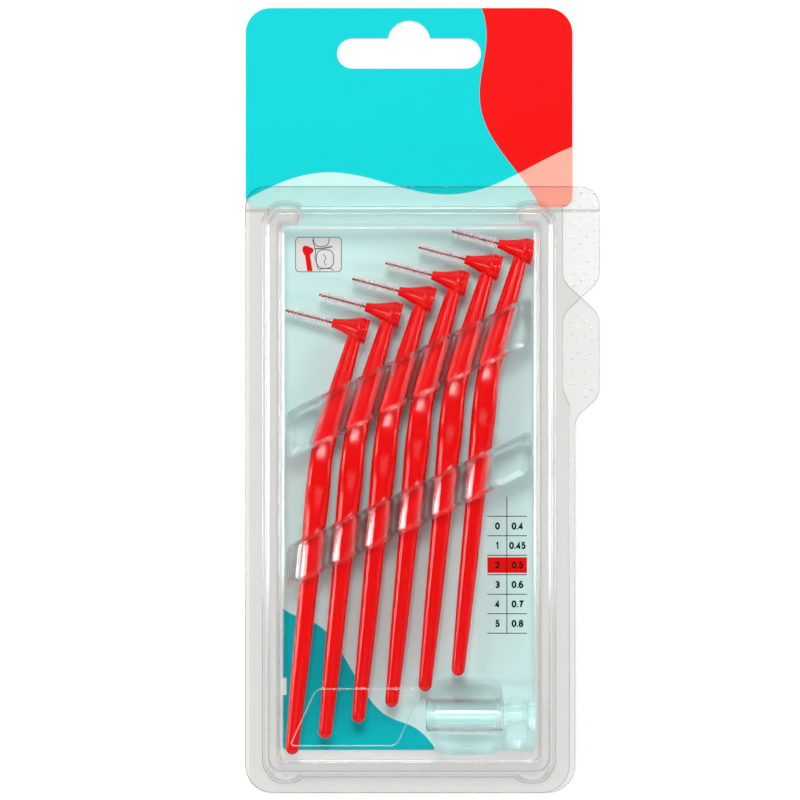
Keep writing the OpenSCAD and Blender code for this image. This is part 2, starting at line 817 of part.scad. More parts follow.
module hang_hole() {
    middle = header_top - slot_drop;
    translate([-slot_width / 2 + slot_height / 2, middle - slot_height / 2])
        square([slot_width - slot_height, slot_height]);
    for (side = [-1, 1])
        translate([side * (slot_width - slot_height) / 2, middle])
            circle(d = slot_height, $fn = fine);
    translate([0, middle + dome_rise])
        circle(r = dome_radius, $fn = fine);
}

module hang_card() {
    color([0.74, 0.92, 0.91])
        place()
            translate([0, 0, card_level])
                linear_extrude(height = card_thickness)
                    difference() {
                        union() {
                            round_plate(header_width, header_bottom, header_height, header_top_radius);
                            round_plate(header_width, header_bottom, header_height / 2,
                                header_bottom_radius);
                            translate([-neck_width / 2, body_top - neck_height])
                                square([neck_width, 3 * neck_height]);
                            round_plate(body_width, body_bottom, body_height, body_radius);
                        }
                        hang_hole();
                        translate([-body_width / 2 - overrun, body_bottom + side_notch_rise])
                            square([side_notch_depth + overrun, side_notch_height]);
                        for (i = [0 : slit_count - 1])
                            translate([(i - (slit_count - 1) / 2) * slit_pitch - slit_length / 2,
                                body_top - slit_drop - slit_width / 2])
                                square([slit_length, slit_width]);
                    }
}

// Turns a form drawn along +Z so that it points from the nose of the head to its back
module on_head_axis() {
    joint = spine(-neck_length);
    translate([joint[0] - nose_reach * cos(head_tilt), joint[1] + nose_reach * sin(head_tilt), 0])
        rotate([0, 0, -head_tilt])
            rotate([0, 90, 0])
                children();
}

module head_form() {
    shoulder = head_length - disc_thickness - groove_width;
    rotate_extrude($fn = fine)
        polygon(concat(
            [[0, 0], [nose_radius - head_round, 0]],
            [for (i = [0 : flare_steps])
                [nose_radius + (disc_radius - head_round / 2 - nose_radius)
                    * pow(i / flare_steps, flare_power), head_round + flare_length * i / flare_steps]],
            [
                [disc_radius, flare_length + 2 * head_round],
                [disc_radius, shoulder],
                [disc_radius - groove_depth, shoulder],
                [disc_radius - groove_depth, shoulder + groove_width],
                [disc_radius, shoulder + groove_width],
                [disc_radius, head_length - head_round],
                [disc_radius - head_round, head_length],
                [0, head_length]
            ]
        ));
}

module brush_handle(i) {
    color([0.93, 0.03, 0.04])
        place()
            at_brush(i)
                difference() {
                    union() {
                        skin(handle_stations, 0, handle_sides);
                        on_head_axis()
                            head_form();
                    }
                    on_head_axis()
                        translate([0, 0, -overrun])
                            cylinder(d = wire_diameter, h = wire_anchor + overrun, $fn = fine);
                }
}

module brush_wire(i) {
    color([0.45, 0.12, 0.13])
        place()
            at_brush(i)
                on_head_axis()
                    translate([0, 0, -wire_length + wire_diameter / 2]) {
                        cylinder(d = wire_diameter, h = wire_length + wire_anchor - wire_diameter / 2,
                            $fn = fine);
                        sphere(d = wire_diameter, $fn = fine);
                    }
}

// The wire's coat, one ring of points after another, with each bristle drawn up out of one cell
function coat_point(j, k, length) =
    [
        coat_diameter / 2 * cos(full_turn * k / coat_sides),
        coat_diameter / 2 * sin(full_turn * k / coat_sides),
        length * j / bristle_rows
    ];
function bristle_tip(j, side, length) =
    let (a = full_turn * (j % coat_sides + side * coat_sides / 2 + half_share) / coat_sides)
    [bristle_diameter / 2 * cos(a), bristle_diameter / 2 * sin(a), length * (j + half_share) / bristle_rows];
function is_bristle(j, k) = (k - j % coat_sides + coat_sides) % (coat_sides / 2) == 0;
function tip_index(j, k) =
    (bristle_rows + 1) * coat_sides + 2 * j + (k == j % coat_sides ? 0 : 1);
function cell_faces(j, k) =
    let (
        m = (k + 1) % coat_sides,
        a = j * coat_sides + k,
        b = j * coat_sides + m,
        c = (j + 1) * coat_sides + m,
        d = (j + 1) * coat_sides + k,
        t = tip_index(j, k)
    )
    is_bristle(j, k) ? [[a, d, t], [d, c, t], [c, b, t], [b, a, t]] : [[a, d, c], [a, c, b]];

module bristle_form(length) {
    polyhedron(
        points = concat(
            [for (j = [0 : bristle_rows], k = [0 : coat_sides - 1]) coat_point(j, k, length)],
            [for (j = [0 : bristle_rows - 1], side = [0, 1]) bristle_tip(j, side, length)]
        ),
        faces = concat(
            [[for (k = [0 : coat_sides - 1]) k]],
            [[for (k = [coat_sides - 1 : -1 : 0]) bristle_rows * coat_sides + k]],
            [for (j = [0 : bristle_rows - 1], k = [0 : coat_sides - 1]) each cell_faces(j, k)]
        )
    );
}

module brush_bristles(i) {
    length = wire_length - tip_bare - nose_bare;
    color([0.95, 0.96, 0.96, 0.6])
        place()
            at_brush(i)
                on_head_axis()
                    difference() {
                        translate([0, 0, -wire_length + tip_bare])
                            bristle_form(length);
                        translate([0, 0, -wire_length - overrun])
                            cylinder(d = wire_diameter, h = wire_length + overrun, $fn = fine);
                    }
}

module protective_cap() {
    barrel = cap_diameter / 2;
    stem = cap_stem_diameter / 2;
    collar = cap_collar_diameter / 2;
    stem_end = cap_barrel + cap_stem;
    cap_end = stem_end + cap_collar;
    color([0.92, 0.95, 0.95, 0.5])
        place()
            translate([cap_shift, cap_rise, cap_level])
                rotate([0, 90, 0])
                    difference() {
                        rotate_extrude($fn = fine)
                            polygon([
                                [0, 0],
                                [barrel - cap_round, 0],
                                [barrel, cap_round],
                                [barrel, cap_barrel - cap_round],
                                [barrel - cap_round, cap_barrel],
                                [stem, cap_barrel],
                                [stem, stem_end],
                                [collar - cap_round, stem_end],
                                [collar, stem_end + cap_round],
                                [collar, cap_end - cap_round],
                                [collar - cap_round, cap_end],
                                [0, cap_end]
                            ]);
                        translate([0, 0, -overrun])
                            cylinder(d = cap_bore, h = cap_bore_depth + overrun, $fn = fine);
                    }
}

rear_shell();
front_shell();
hang_card();
protective_cap();
brush_handle(0);  // brush_1_handle
brush_wire(0);  // brush_1_wire
brush_bristles(0);  // brush_1_bristles
brush_handle(1);  // brush_2_handle
brush_wire(1);  // brush_2_wire
brush_bristles(1);  // brush_2_bristles
brush_handle(2);  // brush_3_handle
brush_wire(2);  // brush_3_wire
brush_bristles(2);  // brush_3_bristles
brush_handle(3);  // brush_4_handle
brush_wire(3);  // brush_4_wire
brush_bristles(3);  // brush_4_bristles
brush_handle(4);  // brush_5_handle
brush_wire(4);  // brush_5_wire
brush_bristles(4);  // brush_5_bristles
brush_handle(5);  // brush_6_handle
brush_wire(5);  // brush_6_wire
brush_bristles(5);  // brush_6_bristles
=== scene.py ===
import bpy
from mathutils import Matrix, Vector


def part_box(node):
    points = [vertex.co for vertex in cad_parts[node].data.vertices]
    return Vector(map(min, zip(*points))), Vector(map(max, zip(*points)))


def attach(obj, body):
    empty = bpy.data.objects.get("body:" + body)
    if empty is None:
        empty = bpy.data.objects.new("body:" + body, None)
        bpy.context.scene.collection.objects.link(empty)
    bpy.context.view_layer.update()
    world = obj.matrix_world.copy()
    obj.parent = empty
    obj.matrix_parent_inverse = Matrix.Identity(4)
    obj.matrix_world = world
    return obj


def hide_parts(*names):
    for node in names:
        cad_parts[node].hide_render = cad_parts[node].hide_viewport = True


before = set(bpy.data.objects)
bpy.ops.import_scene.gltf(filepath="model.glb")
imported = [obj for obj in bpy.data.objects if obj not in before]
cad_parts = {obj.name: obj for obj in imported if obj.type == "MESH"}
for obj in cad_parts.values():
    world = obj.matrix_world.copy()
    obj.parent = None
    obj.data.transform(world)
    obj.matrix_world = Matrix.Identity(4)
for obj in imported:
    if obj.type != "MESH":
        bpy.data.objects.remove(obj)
"""Looks of a hanging pack of six angled interdental brushes.

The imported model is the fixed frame. Each sub-assembly below is a dataclass with its sizes as fields, in
millimetres, and with methods that build its meshes and dress them. Places are given in the drawing frame,
X from the card's centre line and Y from the shell's bottom edge, and `SHEET.point` turns them into metres
in the row frame.
"""

import logging
import math
from dataclasses import dataclass, field
from enum import Enum

import bmesh
import bpy
from bpy.types import Material, Mesh, Node, NodeSocket, Object
from mathutils import Matrix, Vector

MM = 0.001
LOG = logging.getLogger("brush_pack")
Colour = tuple[float, float, float]
Point = tuple[float, float]
Place = tuple[float, float, float]
WHITE: Colour = (1.0, 1.0, 1.0)


class Body(Enum):
    """The two moving bodies of the pack."""

    REAR = "rear_half"
    FRONT = "front_half"


class Sweep(Enum):
    """Whether a row of rings or a printed line runs back to its start."""

    OPEN = "open"
    CLOSED = "closed"


def linear(code: str) -> Colour:
    """Turns a hexadecimal sRGB colour into linear values.

    Args:
        code: Six hexadecimal digits.

    Returns:
        The linear red, green and blue.
    """
    parts = [int(code[i:i + 2], 16) / 255 for i in (0, 2, 4)]
    red, green, blue = (p / 12.92 if p <= 0.04045 else ((p + 0.055) / 1.055) ** 2.4 for p in parts)
    return (red, green, blue)


@dataclass(frozen=True)
class DrawingFrame:
    """The place of the drawing frame in the row frame.

    Args:
        left: Row X of the card's centre line, in metres.
        low: Row Y of the shell's bottom edge, in metres.
    """

    left: float
    low: float

    @classmethod
    def of_card(cls) -> "DrawingFrame":
        """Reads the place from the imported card, whose top edge is also the pack's."""
        low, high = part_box("hang_card")
        return cls(left=(low.x + high.x) / 2, low=-high.y)

    def point(self, x: float, y: float, z: float) -> Vector:
        """Turns a place in the drawing frame, in millimetres, into metres in the row frame."""
        return Vector((self.left + x * MM, self.low + y * MM, z * MM))


SHEET = DrawingFrame.of_card()


class NodeTree:
    """Short calls to add and join the nodes of a tree."""

    def __init__(self, tree: bpy.types.NodeTree) -> None:
        """Takes the tree that the calls fill."""
        self.tree = tree

    def add(self, kind: str, values: dict[str | int, object] | None = None, **settings: object) -> Node:
        """Adds a node.

        Args:
            kind: Blender's name of the node type.
            values: Input values or sockets, by input name or index.
            settings: Properties of the node.

        Returns:
            The new node.
        """
        node = self.tree.nodes.new(kind)
        for key, value in settings.items():
            setattr(node, key, value)
        for key, value in (values or {}).items():
            if isinstance(value, NodeSocket):
                self.tree.links.new(value, node.inputs[key])
            elif node.inputs[key].type == "RGBA":
                node.inputs[key].default_value = (*value, 1.0)
            else:
                node.inputs[key].default_value = value
        return node

    def calc(self, operation: str, first: object, second: object = 0.0) -> NodeSocket:
        """Adds a math node for two values or sockets and gives its result."""
        return self.add("ShaderNodeMath", {0: first, 1: second}, operation=operation).outputs[0]

    def scaled(self, value: object, factor: object) -> NodeSocket:
        """Multiplies a value or socket by another."""
        return self.calc("MULTIPLY", value, factor)


class Graph(NodeTree):
    """A node tree of shaders, for a material or the world."""

    def __init__(self, owner: Material | bpy.types.World, output: str = "ShaderNodeOutputMaterial") -> None:
        """Empties the owner's tree and gives it an output.

        Args:
            owner: The material or world.
            output: Blender's name of the output node's type.
        """
        owner.use_nodes = True
        super().__init__(owner.node_tree)
        self.owner = owner
        self.tree.nodes.clear()
        self.output = self.add(output)

    @classmethod
    def of_material(cls, name: str) -> "Graph":
        """Starts the tree of a new material."""
        return cls(bpy.data.materials.new(name))

    def blend(self, share: object, low: object, high: object) -> NodeSocket:
        """Mixes two colours by the second one's share."""
        return self.add("ShaderNodeMix", {0: share, 6: low, 7: high}, data_type="RGBA").outputs[2]

    def layer(self, share: object, first: Node, second: Node) -> Node:
        """Mixes two shaders by the second one's share."""
        return self.add("ShaderNodeMixShader", {0: share, 1: first.outputs[0], 2: second.outputs[0]})

    def place(self) -> NodeSocket:
        """Gives the object coordinates, which are the row frame in metres."""
        return self.add("ShaderNodeTexCoord").outputs["Object"]

    def parts(self, vector: NodeSocket) -> list[NodeSocket]:
        """Splits a vector into its three values."""
        return list(self.add("ShaderNodeSeparateXYZ", {0: vector}).outputs)

    def upright(self) -> NodeSocket:
        """Gives the upright part of the face's own normal."""
        return self.parts(self.add("ShaderNodeNewGeometry").outputs["True Normal"])[2]

    def noise(self, scale: float, detail: float = 2.0) -> NodeSocket:
        """Gives a noise pattern with so many repeats in a metre and so many octaves."""
        values = {"Vector": self.place(), "Scale": scale, "Detail": detail}
        return self.add("ShaderNodeTexNoise", values).outputs[0]

    def spread(self, value: object, low: float, high: float) -> NodeSocket:
        """Maps 0..1 onto a range."""
        return self.add("ShaderNodeMapRange", {0: value, 3: low, 4: high}).outputs[0]

    def relief(self, height: object, depth: float) -> NodeSocket:
        """Turns a height pattern from 0 to 1 into the shading of a relief of that depth in millimetres."""
        values = {"Strength": 1.0, "Distance": depth * MM, "Height": height}
        return self.add("ShaderNodeBump", values).outputs[0]

    def finish(self, shader: Node) -> Material | bpy.types.World:
        """Joins the last shader to the output and gives the material or world."""
        self.tree.links.new(shader.outputs[0], self.output.inputs["Surface"])
        return self.owner


@dataclass(frozen=True)
class ClearSheet:
    """Thin clear formed sheet: it lets light straight through and mirrors more where it is seen at a slant.

    Args:
        name: Name of the material.
        tint: What one face lets through.
        roughness: Roughness of the skin.
        mirror: Share mirrored where it is seen straight on.
        mirror_tint: Colour of the mirrored light.
        rise: How fast the mirrored share grows with the slant.
        wave: Depth of the skin's slow waves.
        wave_scale: Waves in a metre.
        rim_shade: Painted shade: the darker colour that one face of the cut edges and folds round the flange
            lets through, standing in for the dark outline that refraction gives these edges.
        rim_height: Height up to which the faces count as the flange's.
        rim_slant: Upright part of the normal under which a face counts as an edge.
    """

    name: str
    tint: Colour
    roughness: float = 0.08
    mirror: float = 0.015
    mirror_tint: Colour = (0.98, 0.98, 0.98)
    rise: float = 1.65
    wave: float = 0.012
    wave_scale: float = 55.0
    rim_shade: Colour = (0.72, 0.72, 0.7)
    rim_height: float = 1.3
    rim_slant: float = 0.96

    def material(self) -> Material:
        """Builds the node tree.

        Returns:
            The material.
        """
        g = Graph.of_material(self.name)
        normal = g.relief(g.noise(self.wave_scale), self.wave)
        slant = g.add("ShaderNodeLayerWeight", {"Blend": 0.5, "Normal": normal}).outputs["Facing"]
        share = g.spread(g.calc("POWER", slant, self.rise), self.mirror, 1.0)
        gloss = g.add("ShaderNodeBsdfPrincipled", {
            "Base Color": self.mirror_tint, "Metallic": 1.0, "Roughness": self.roughness, "Normal": normal})
        # Painted shade: slanted faces near the flange let through a darker colour, standing in for the dark
        # outline that refraction gives cut edges and folds.
        edge = g.calc("LESS_THAN", g.calc("ABSOLUTE", g.upright()), self.rim_slant)
        rim_shade = g.scaled(edge, g.calc("LESS_THAN", g.parts(g.place())[2], self.rim_height * MM))
        clear = g.add("ShaderNodeBsdfTransparent", {"Color": g.blend(rim_shade, self.tint, self.rim_shade)})
        return g.finish(g.layer(share, clear, gloss))


@dataclass(frozen=True)
class ClearPlastic:
    """Clear moulded plastic with thick walls.

    Args:
        name: Name of the material.
        tint: What two faces let through.
        shade: What a shadow ray keeps.
        roughness: Roughness of the skin.
        ior: Refractive index.
        wave: Depth of the skin's slow waves.
        wave_scale: Waves in a metre.
    """

    name: str
    tint: Colour
    shade: Colour
    roughness: float = 0.2
    ior: float = 1.45
    wave: float = 0.004
    wave_scale: float = 300.0

    def material(self) -> Material:
        """Builds the node tree.

        Returns:
            The material.
        """
        g = Graph.of_material(self.name)
        clear = g.add("ShaderNodeBsdfPrincipled", {
            "Base Color": self.tint, "Roughness": self.roughness, "IOR": self.ior,
            "Transmission Weight": 1.0, "Normal": g.relief(g.noise(self.wave_scale), self.wave)})
        open_to_lamps = g.add("ShaderNodeBsdfTransparent", {"Color": self.shade})
        shadow = g.add("ShaderNodeLightPath").outputs["Is Shadow Ray"]
        return g.finish(g.layer(shadow, clear, open_to_lamps))


@dataclass(frozen=True)
class MouldedPlastic:
    """Opaque moulded plastic with a faint uneven gloss.

    Args:
        name: Name of the material.
        colour: Linear colour.
        roughness: Mean roughness.
        uneven: How far the roughness wanders.
        specular: Strength of the plain reflection.
        grain: Depth of the skin's grain.
        grain_scale: Grains in a metre.
        glow: Share of light let into the plastic under its skin.
        depths: How far that light runs for red, green and blue.
    """

    name: str
    colour: Colour
    roughness: float
    uneven: float
    specular: float
    grain: float
    grain_scale: float
    glow: float = 0.0
    depths: Place = (0.6, 0.2, 0.2)

    def material(self) -> Material:
        """Builds the node tree.

        Returns:
            The material.
        """
        g = Graph.of_material(self.name)
        pattern = g.noise(self.grain_scale)
        rough = g.spread(pattern, self.roughness - self.uneven, self.roughness + self.uneven)
        return g.finish(g.add("ShaderNodeBsdfPrincipled", {
            "Base Color": self.colour, "Roughness": rough, "Specular IOR Level": self.specular,
            "Subsurface Weight": self.glow, "Subsurface Radius": self.depths, "Subsurface Scale": MM,
            "Normal": g.relief(pattern, self.grain)}))


@dataclass(frozen=True)
class Ink:
    """Flat printed ink.

    Args:
        name: Name of the material.
        code: Its colour as six hexadecimal digits.
        roughness: Mean roughness.
        speckle: How far fine specks change it.
        speckle_scale: Specks in a metre.
        specular: Strength of the plain reflection.
    """

    name: str
    code: str
    roughness: float = 0.42
    speckle: float = 0.04
    speckle_scale: float = 2600.0
    specular: float = 0.08

    def material(self) -> Material:
        """Builds the node tree.

        Returns:
            The material.
        """
        g = Graph.of_material(self.name)
        specks = g.noise(self.speckle_scale)
        rough = g.spread(specks, self.roughness - self.speckle, self.roughness + self.speckle)
        return g.finish(g.add("ShaderNodeBsdfPrincipled", {
            "Base Color": linear(self.code), "Roughness": rough, "Specular IOR Level": self.specular}))


@dataclass(frozen=True)
class Wave:
    """One printed edge on the card: a straight line that swings to and fro.

    Args:
        level: Where the line crosses the axis.
        slope: How steeply the line rises.
        swing: How far the edge swings to each side of the line.
        length: Length of one swing along the axis.
        start: Angle at which the swing starts, in radians.
    """

    level: float
    slope: float
    swing: float
    length: float
    start: float

    def mask(self, g: Graph, along: NodeSocket, across: NodeSocket) -> NodeSocket:
        """Gives 1 beyond the edge and 0 before it.

        Args:
            g: The material's graph.
            along: Place along the axis, in millimetres.
            across: Place across it, in millimetres.

        Returns:
            The mask's socket.
        """
        line = g.calc("ADD", g.scaled(along, self.slope), self.level)
        angle = g.calc("ADD", g.scaled(along, 2 * math.pi / self.length), self.start)
        edge = g.calc("ADD", line, g.scaled(g.calc("SINE", angle), self.swing))
        return g.calc("GREATER_THAN", across, edge)


@dataclass(frozen=True)
class PrintedCard:
    """The card's coated board, printed with plain waves of colour.

    Args:
        ground: Pale printed ground inside the tray, as six hexadecimal digits like the next six.
        top_ground: Slightly deeper ground in the header.
        header: Colour over the upper wave.
        side: Colour beyond the side wave where it lies alone.
        overlap: Colour where the upper and the side wave lie over each other.
        foot: Colour under the lower wave.
        board: Colour of the unprinted board at its edges and back.
        fade: Heights between which the ground deepens.
        upper: Edge that runs across the header's foot.
        right: Edge that runs up the header's right part.
        lower: Edge that runs down across the card's bottom left corner.
        roughness: Least and greatest roughness.
        specular: Strength of the plain reflection.
        grain: Depth of the board's grain.
        grain_scale: Grains in a metre.
        grain_detail: Octaves of the grain.
    """

    ground: str = "D9FEFC"
    top_ground: str = "C6F0ED"
    header: str = "00D2D5"
    side: str = "FFAE9C"
    overlap: str = "F00000"
    foot: str = "00C4CE"
    board: str = "F2F2F0"
    fade: Point = (122.0, 132.0)
    upper: Wave = Wave(136.0, 0.12, 4.2, 64.0, 3.6)
    right: Wave = Wave(65.0, -0.3, 3.5, 46.0, 3.033)
    lower: Wave = Wave(14.0, -1.05, 2.5, 22.0, 0.5)
    roughness: Point = (0.36, 0.46)
    specular: float = 0.08
    grain: float = 0.004
    grain_scale: float = 1800.0
    grain_detail: float = 4.0

    def material(self) -> Material:
        """Builds the node tree.

        Returns:
            The material.
        """
        g = Graph.of_material("printed_card")
        moved = g.add("ShaderNodeVectorMath", {0: g.place(), 1: tuple(SHEET.point(0.0, 0.0, 0.0))},
                      operation="SUBTRACT")
        grown = g.add("ShaderNodeVectorMath", {0: moved.outputs[0], "Scale": 1 / MM}, operation="SCALE")
        x, y, _ = g.parts(grown.outputs[0])
        over, beyond, above = self.upper.mask(g, x, y), self.right.mask(g, y, x), self.lower.mask(g, x, y)
        ground, top_ground, header, side, overlap, foot, board = (linear(code) for code in (
            self.ground, self.top_ground, self.header, self.side, self.overlap, self.foot, self.board))
        deeper = g.add("ShaderNodeMapRange", {0: y, 1: self.fade[0], 2: self.fade[1]}).outputs[0]
        colour = g.blend(above, foot, g.blend(deeper, ground, top_ground))
        colour = g.blend(over, g.blend(beyond, colour, side), g.blend(beyond, header, overlap))
        colour = g.blend(g.calc("GREATER_THAN", g.upright(), 0.5), board, colour)
        fibres = g.noise(self.grain_scale, self.grain_detail)
        return g.finish(g.add("ShaderNodeBsdfPrincipled", {
            "Base Color": colour, "Roughness": g.spread(fibres, *self.roughness),
            "Specular IOR Level": self.specular, "Normal": g.relief(fibres, self.grain)}))


@dataclass(frozen=True)
class Finishes:
    """All the materials of the pack, built once."""

    front_sheet: Material
    rear_sheet: Material
    dots: Material
    cap: Material
    card: Material
    handle: Material
    wire: Material
    filament: Material
    dark_ink: Material
    red_ink: Material
    pale_ink: Material
    grey_ink: Material

    @classmethod
    def build(cls) -> "Finishes":
        """Builds every material.

        Returns:
            The set of materials.
        """
        coat, thread = linear("B00E18"), linear("FFFFFF")
        recipes = {
            "front_sheet": ClearSheet("clear_front_sheet", (0.983, 0.984, 0.982)),
            "rear_sheet": ClearSheet("clear_rear_sheet", (0.955, 0.955, 0.945)),
            # Painted highlight: the clear grip dots get opaque near-white ink, standing in for the light
            # that their curved faces catch.
            "dots": Ink("dots_painted_highlight", "FAFAF8"),
            "cap": ClearPlastic("clear_cap", (0.93, 0.985, 0.99), (0.85, 0.87, 0.87)),
            "card": PrintedCard(),
            "handle": MouldedPlastic("red_handle", (0.98, 0.0, 0.001), 0.17, 0.02, 0.38, 0.002, 700.0),
            "wire": MouldedPlastic("coated_wire", coat, 0.38, 0.05, 0.3, 0.004, 4000.0),
            "filament": MouldedPlastic("filament", thread, 0.45, 0.05, 0.4, 0.002, 5000.0, 0.2),
            "dark_ink": Ink("dark_ink", "06121A"),
            "red_ink": Ink("red_ink", "FA0000"),
            "pale_ink": Ink("pale_ink", "F0F1F0"),
            "grey_ink": Ink("grey_ink", "6F7680"),
        }
        return cls(**{key: recipe.material() for key, recipe in recipes.items()})


def bow(middle: Point, size: Point, start: float, end: float,
        steps: int = 12, power: float = 1.0) -> list[Point]:
    """Draws part of an oval.

    Args:
        middle: Its middle.
        size: Half its width and height.
        start: First angle in degrees.
        end: Last angle in degrees.
        steps: Number of steps.
        power: 1 for an oval, less for a squarer form.

    Returns:
        Its points.
    """
    points = []
    for i in range(steps + 1):
        a = math.radians(start + (end - start) * i / steps)
        c, s = (math.copysign(abs(v) ** power, v) for v in (math.cos(a), math.sin(a)))
        points.append((middle[0] + size[0] * c, middle[1] + size[1] * s))
    return points


def ray(angle: float) -> Vector:
    """Points a unit vector in the pack's plane at an angle in radians."""
    return Vector((math.cos(angle), math.sin(angle), 0.0))


@dataclass
class Shape:
    """Points and faces of a mesh in metres, in the row frame."""

    points: list[Vector] = field(default_factory=list)
    faces: list[tuple[int, ...]] = field(default_factory=list)

    def skin(self, rings: list[list[Vector]], sweep: Sweep = Sweep.OPEN) -> None:
        """Joins closed rings of equal length into a skin.

        Args:
            rings: The rings, one after another.
            sweep: Whether the last ring joins the first or both ends get a face.
        """
        start, sides, count = len(self.points), len(rings[0]), len(rings)
        for ring in rings:
            self.points.extend(ring)
        for i in range(count if sweep is Sweep.CLOSED else count - 1):
            low, high = start + i * sides, start + (i + 1) % count * sides
            for k in range(sides):
                m = (k + 1) % sides
                self.faces.append((low + k, low + m, high + m, high + k))
        if sweep is Sweep.OPEN:
            last = start + (count - 1) * sides
            self.faces.append(tuple(range(start + sides - 1, start - 1, -1)))
            self.faces.append(tuple(range(last, last + sides)))

    def turn(self, profile: list[Point], place: Matrix, sides: int) -> None:
        """Turns a profile round the Z axis of a place.

        Args:
            profile: Radius and distance along the axis of each ring, in millimetres.
            place: The place in the row frame.
            sides: Points of each ring.
        """
        angles = [2 * math.pi * k / sides for k in range(sides)]
        self.skin([[place @ (Vector((radius * math.cos(a), radius * math.sin(a), at)) * MM) for a in angles]
                   for radius, at in profile])

    def prism(self, outline: list[Vector], height: float) -> None:
        """Raises a flat outline into a closed plate.

        Args:
            outline: The outline's points, counter-clockwise from above.
            height: Height of the plate, in millimetres.
        """
        lift = Vector((0.0, 0.0, height * MM))
        self.skin([outline, [p + lift for p in outline]])

    def build(self, name: str, material: Material, smooth: float | None = None) -> Object:
        """Makes the object.

        Args:
            name: Name of the object.
            material: Its material.
            smooth: Angle in degrees under which edges are smooth, or None for flat faces.

        Returns:
            The new object.
        """
        mesh = bpy.data.meshes.new(name)
        mesh.from_pydata([tuple(p) for p in self.points], [], self.faces)
        work = bmesh.new()
        work.from_mesh(mesh)
        bmesh.ops.recalc_face_normals(work, faces=work.faces)
        work.to_mesh(mesh)
        work.free()
        return put(name, mesh, material, smooth)


def put(name: str, mesh: Mesh, material: Material | None, smooth: float | None = None) -> Object:
    """Links a mesh into the scene as an object at the origin.

    Args:
        name: Name of the object.
        mesh: Its mesh.
        material: Its material, or None to keep the mesh's own.
        smooth: Angle in degrees under which edges are smooth, or None for flat faces.

    Returns:
        The new object.
    """
    if material is not None:
        mesh.materials.clear()
        mesh.materials.append(material)
    if smooth is not None:
        mesh.shade_smooth()
        mesh.set_sharp_from_angle(angle=math.radians(smooth))
    thing = bpy.data.objects.new(name, mesh)
    bpy.context.scene.collection.objects.link(thing)
    LOG.info("%s: %d faces", name, len(mesh.polygons))
    return thing


def fasten(thing: Object, body: Body, replaced: tuple[str, ...] = ()) -> Object:
    """Fastens a finished piece to its body.

    Args:
        thing: The piece.
        body: The body that it moves with.
        replaced: CAD nodes that it stands for.

    Returns:
        The same piece.
    """
    if replaced:
        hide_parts(*replaced)
    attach(thing, body.value)
    return thing


def evaluated(thing: Object, name: str) -> Mesh:
    """Keeps an object's evaluated form as a plain mesh.

    Args:
        thing: The object, with its modifiers.
        name: Name of the mesh.

    Returns:
        The new mesh.
    """
    depsgraph = bpy.context.evaluated_depsgraph_get()
    mesh = bpy.data.meshes.new_from_object(thing.evaluated_get(depsgraph), depsgraph=depsgraph)
    mesh.name = name
    return mesh


class Recipe(NodeTree):
    """A Geometry Nodes tree that grows one piece."""

    def __init__(self, name: str, inputs: dict[str, float | int]) -> None:
        """Starts a tree with named inputs.

        Args:
            name: Name of the tree.
            inputs: Input names and values. Whole numbers make whole-number inputs.
        """
        super().__init__(bpy.data.node_groups.new(name, "GeometryNodeTree"))
        sockets = self.tree.interface
        for way in ("INPUT", "OUTPUT"):
            sockets.new_socket("Geometry", in_out=way, socket_type="NodeSocketGeometry")
        self.values = {}
        for key, value in inputs.items():
            kind = "NodeSocketInt" if isinstance(value, int) else "NodeSocketFloat"
            self.values[sockets.new_socket(key, in_out="INPUT", socket_type=kind).identifier] = value
        self.given = self.add("NodeGroupInput").outputs
        self.sink = self.add("NodeGroupOutput")

    def vector(self, x: object, y: object, z: object) -> NodeSocket:
        """Joins three values or sockets into a vector."""
        return self.add("ShaderNodeCombineXYZ", {0: x, 1: y, 2: z}).outputs[0]

    def random(self, low: float, high: float) -> NodeSocket:
        """Draws a number for each point with the tree's seed."""
        values = {2: low, 3: high, "Seed": self.given["Seed"]}
        return self.add("FunctionNodeRandomValue", values, data_type="FLOAT").outputs[1]

    def points(self, count: object, where: NodeSocket) -> NodeSocket:
        """Places so many points at a vector that may follow their number."""
        line = self.add("GeometryNodeMeshLine", {"Count": count}).outputs[0]
        return self.add("GeometryNodeSetPosition", {"Geometry": line, "Position": where}).outputs[0]

    def grow(self, name: str, last: Node, material: Material, place: Matrix,
             smooth: float | None = None) -> Object:
        """Runs the tree once and keeps its result as a plain mesh.

        Args:
            name: Name of the object.
            last: Node with the finished geometry.
            material: Its material.
            place: Where the geometry goes, in the row frame.
            smooth: Angle in degrees under which edges are smooth, or None for flat faces.

        Returns:
            The plain object at the origin.
        """
        real = self.add("GeometryNodeRealizeInstances", {0: last.outputs[0]})
        dressed = self.add("GeometryNodeSetMaterial", {"Geometry": real.outputs[0], "Material": material})
        self.tree.links.new(dressed.outputs[0], self.sink.inputs[0])
        carrier = bpy.data.objects.new(name + "_seed", bpy.data.meshes.new(name + "_seed"))
        bpy.context.scene.collection.objects.link(carrier)
        modifier = carrier.modifiers.new("grow", "NODES")
        modifier.node_group = self.tree
        for identifier, value in self.values.items():
            modifier[identifier] = value
        mesh = evaluated(carrier, name)
        carrier.modifiers.remove(modifier)
        bpy.data.objects.remove(carrier)
        mesh.transform(place)
        if place.is_negative:
            mesh.flip_normals()
        return put(name, mesh, None, smooth)


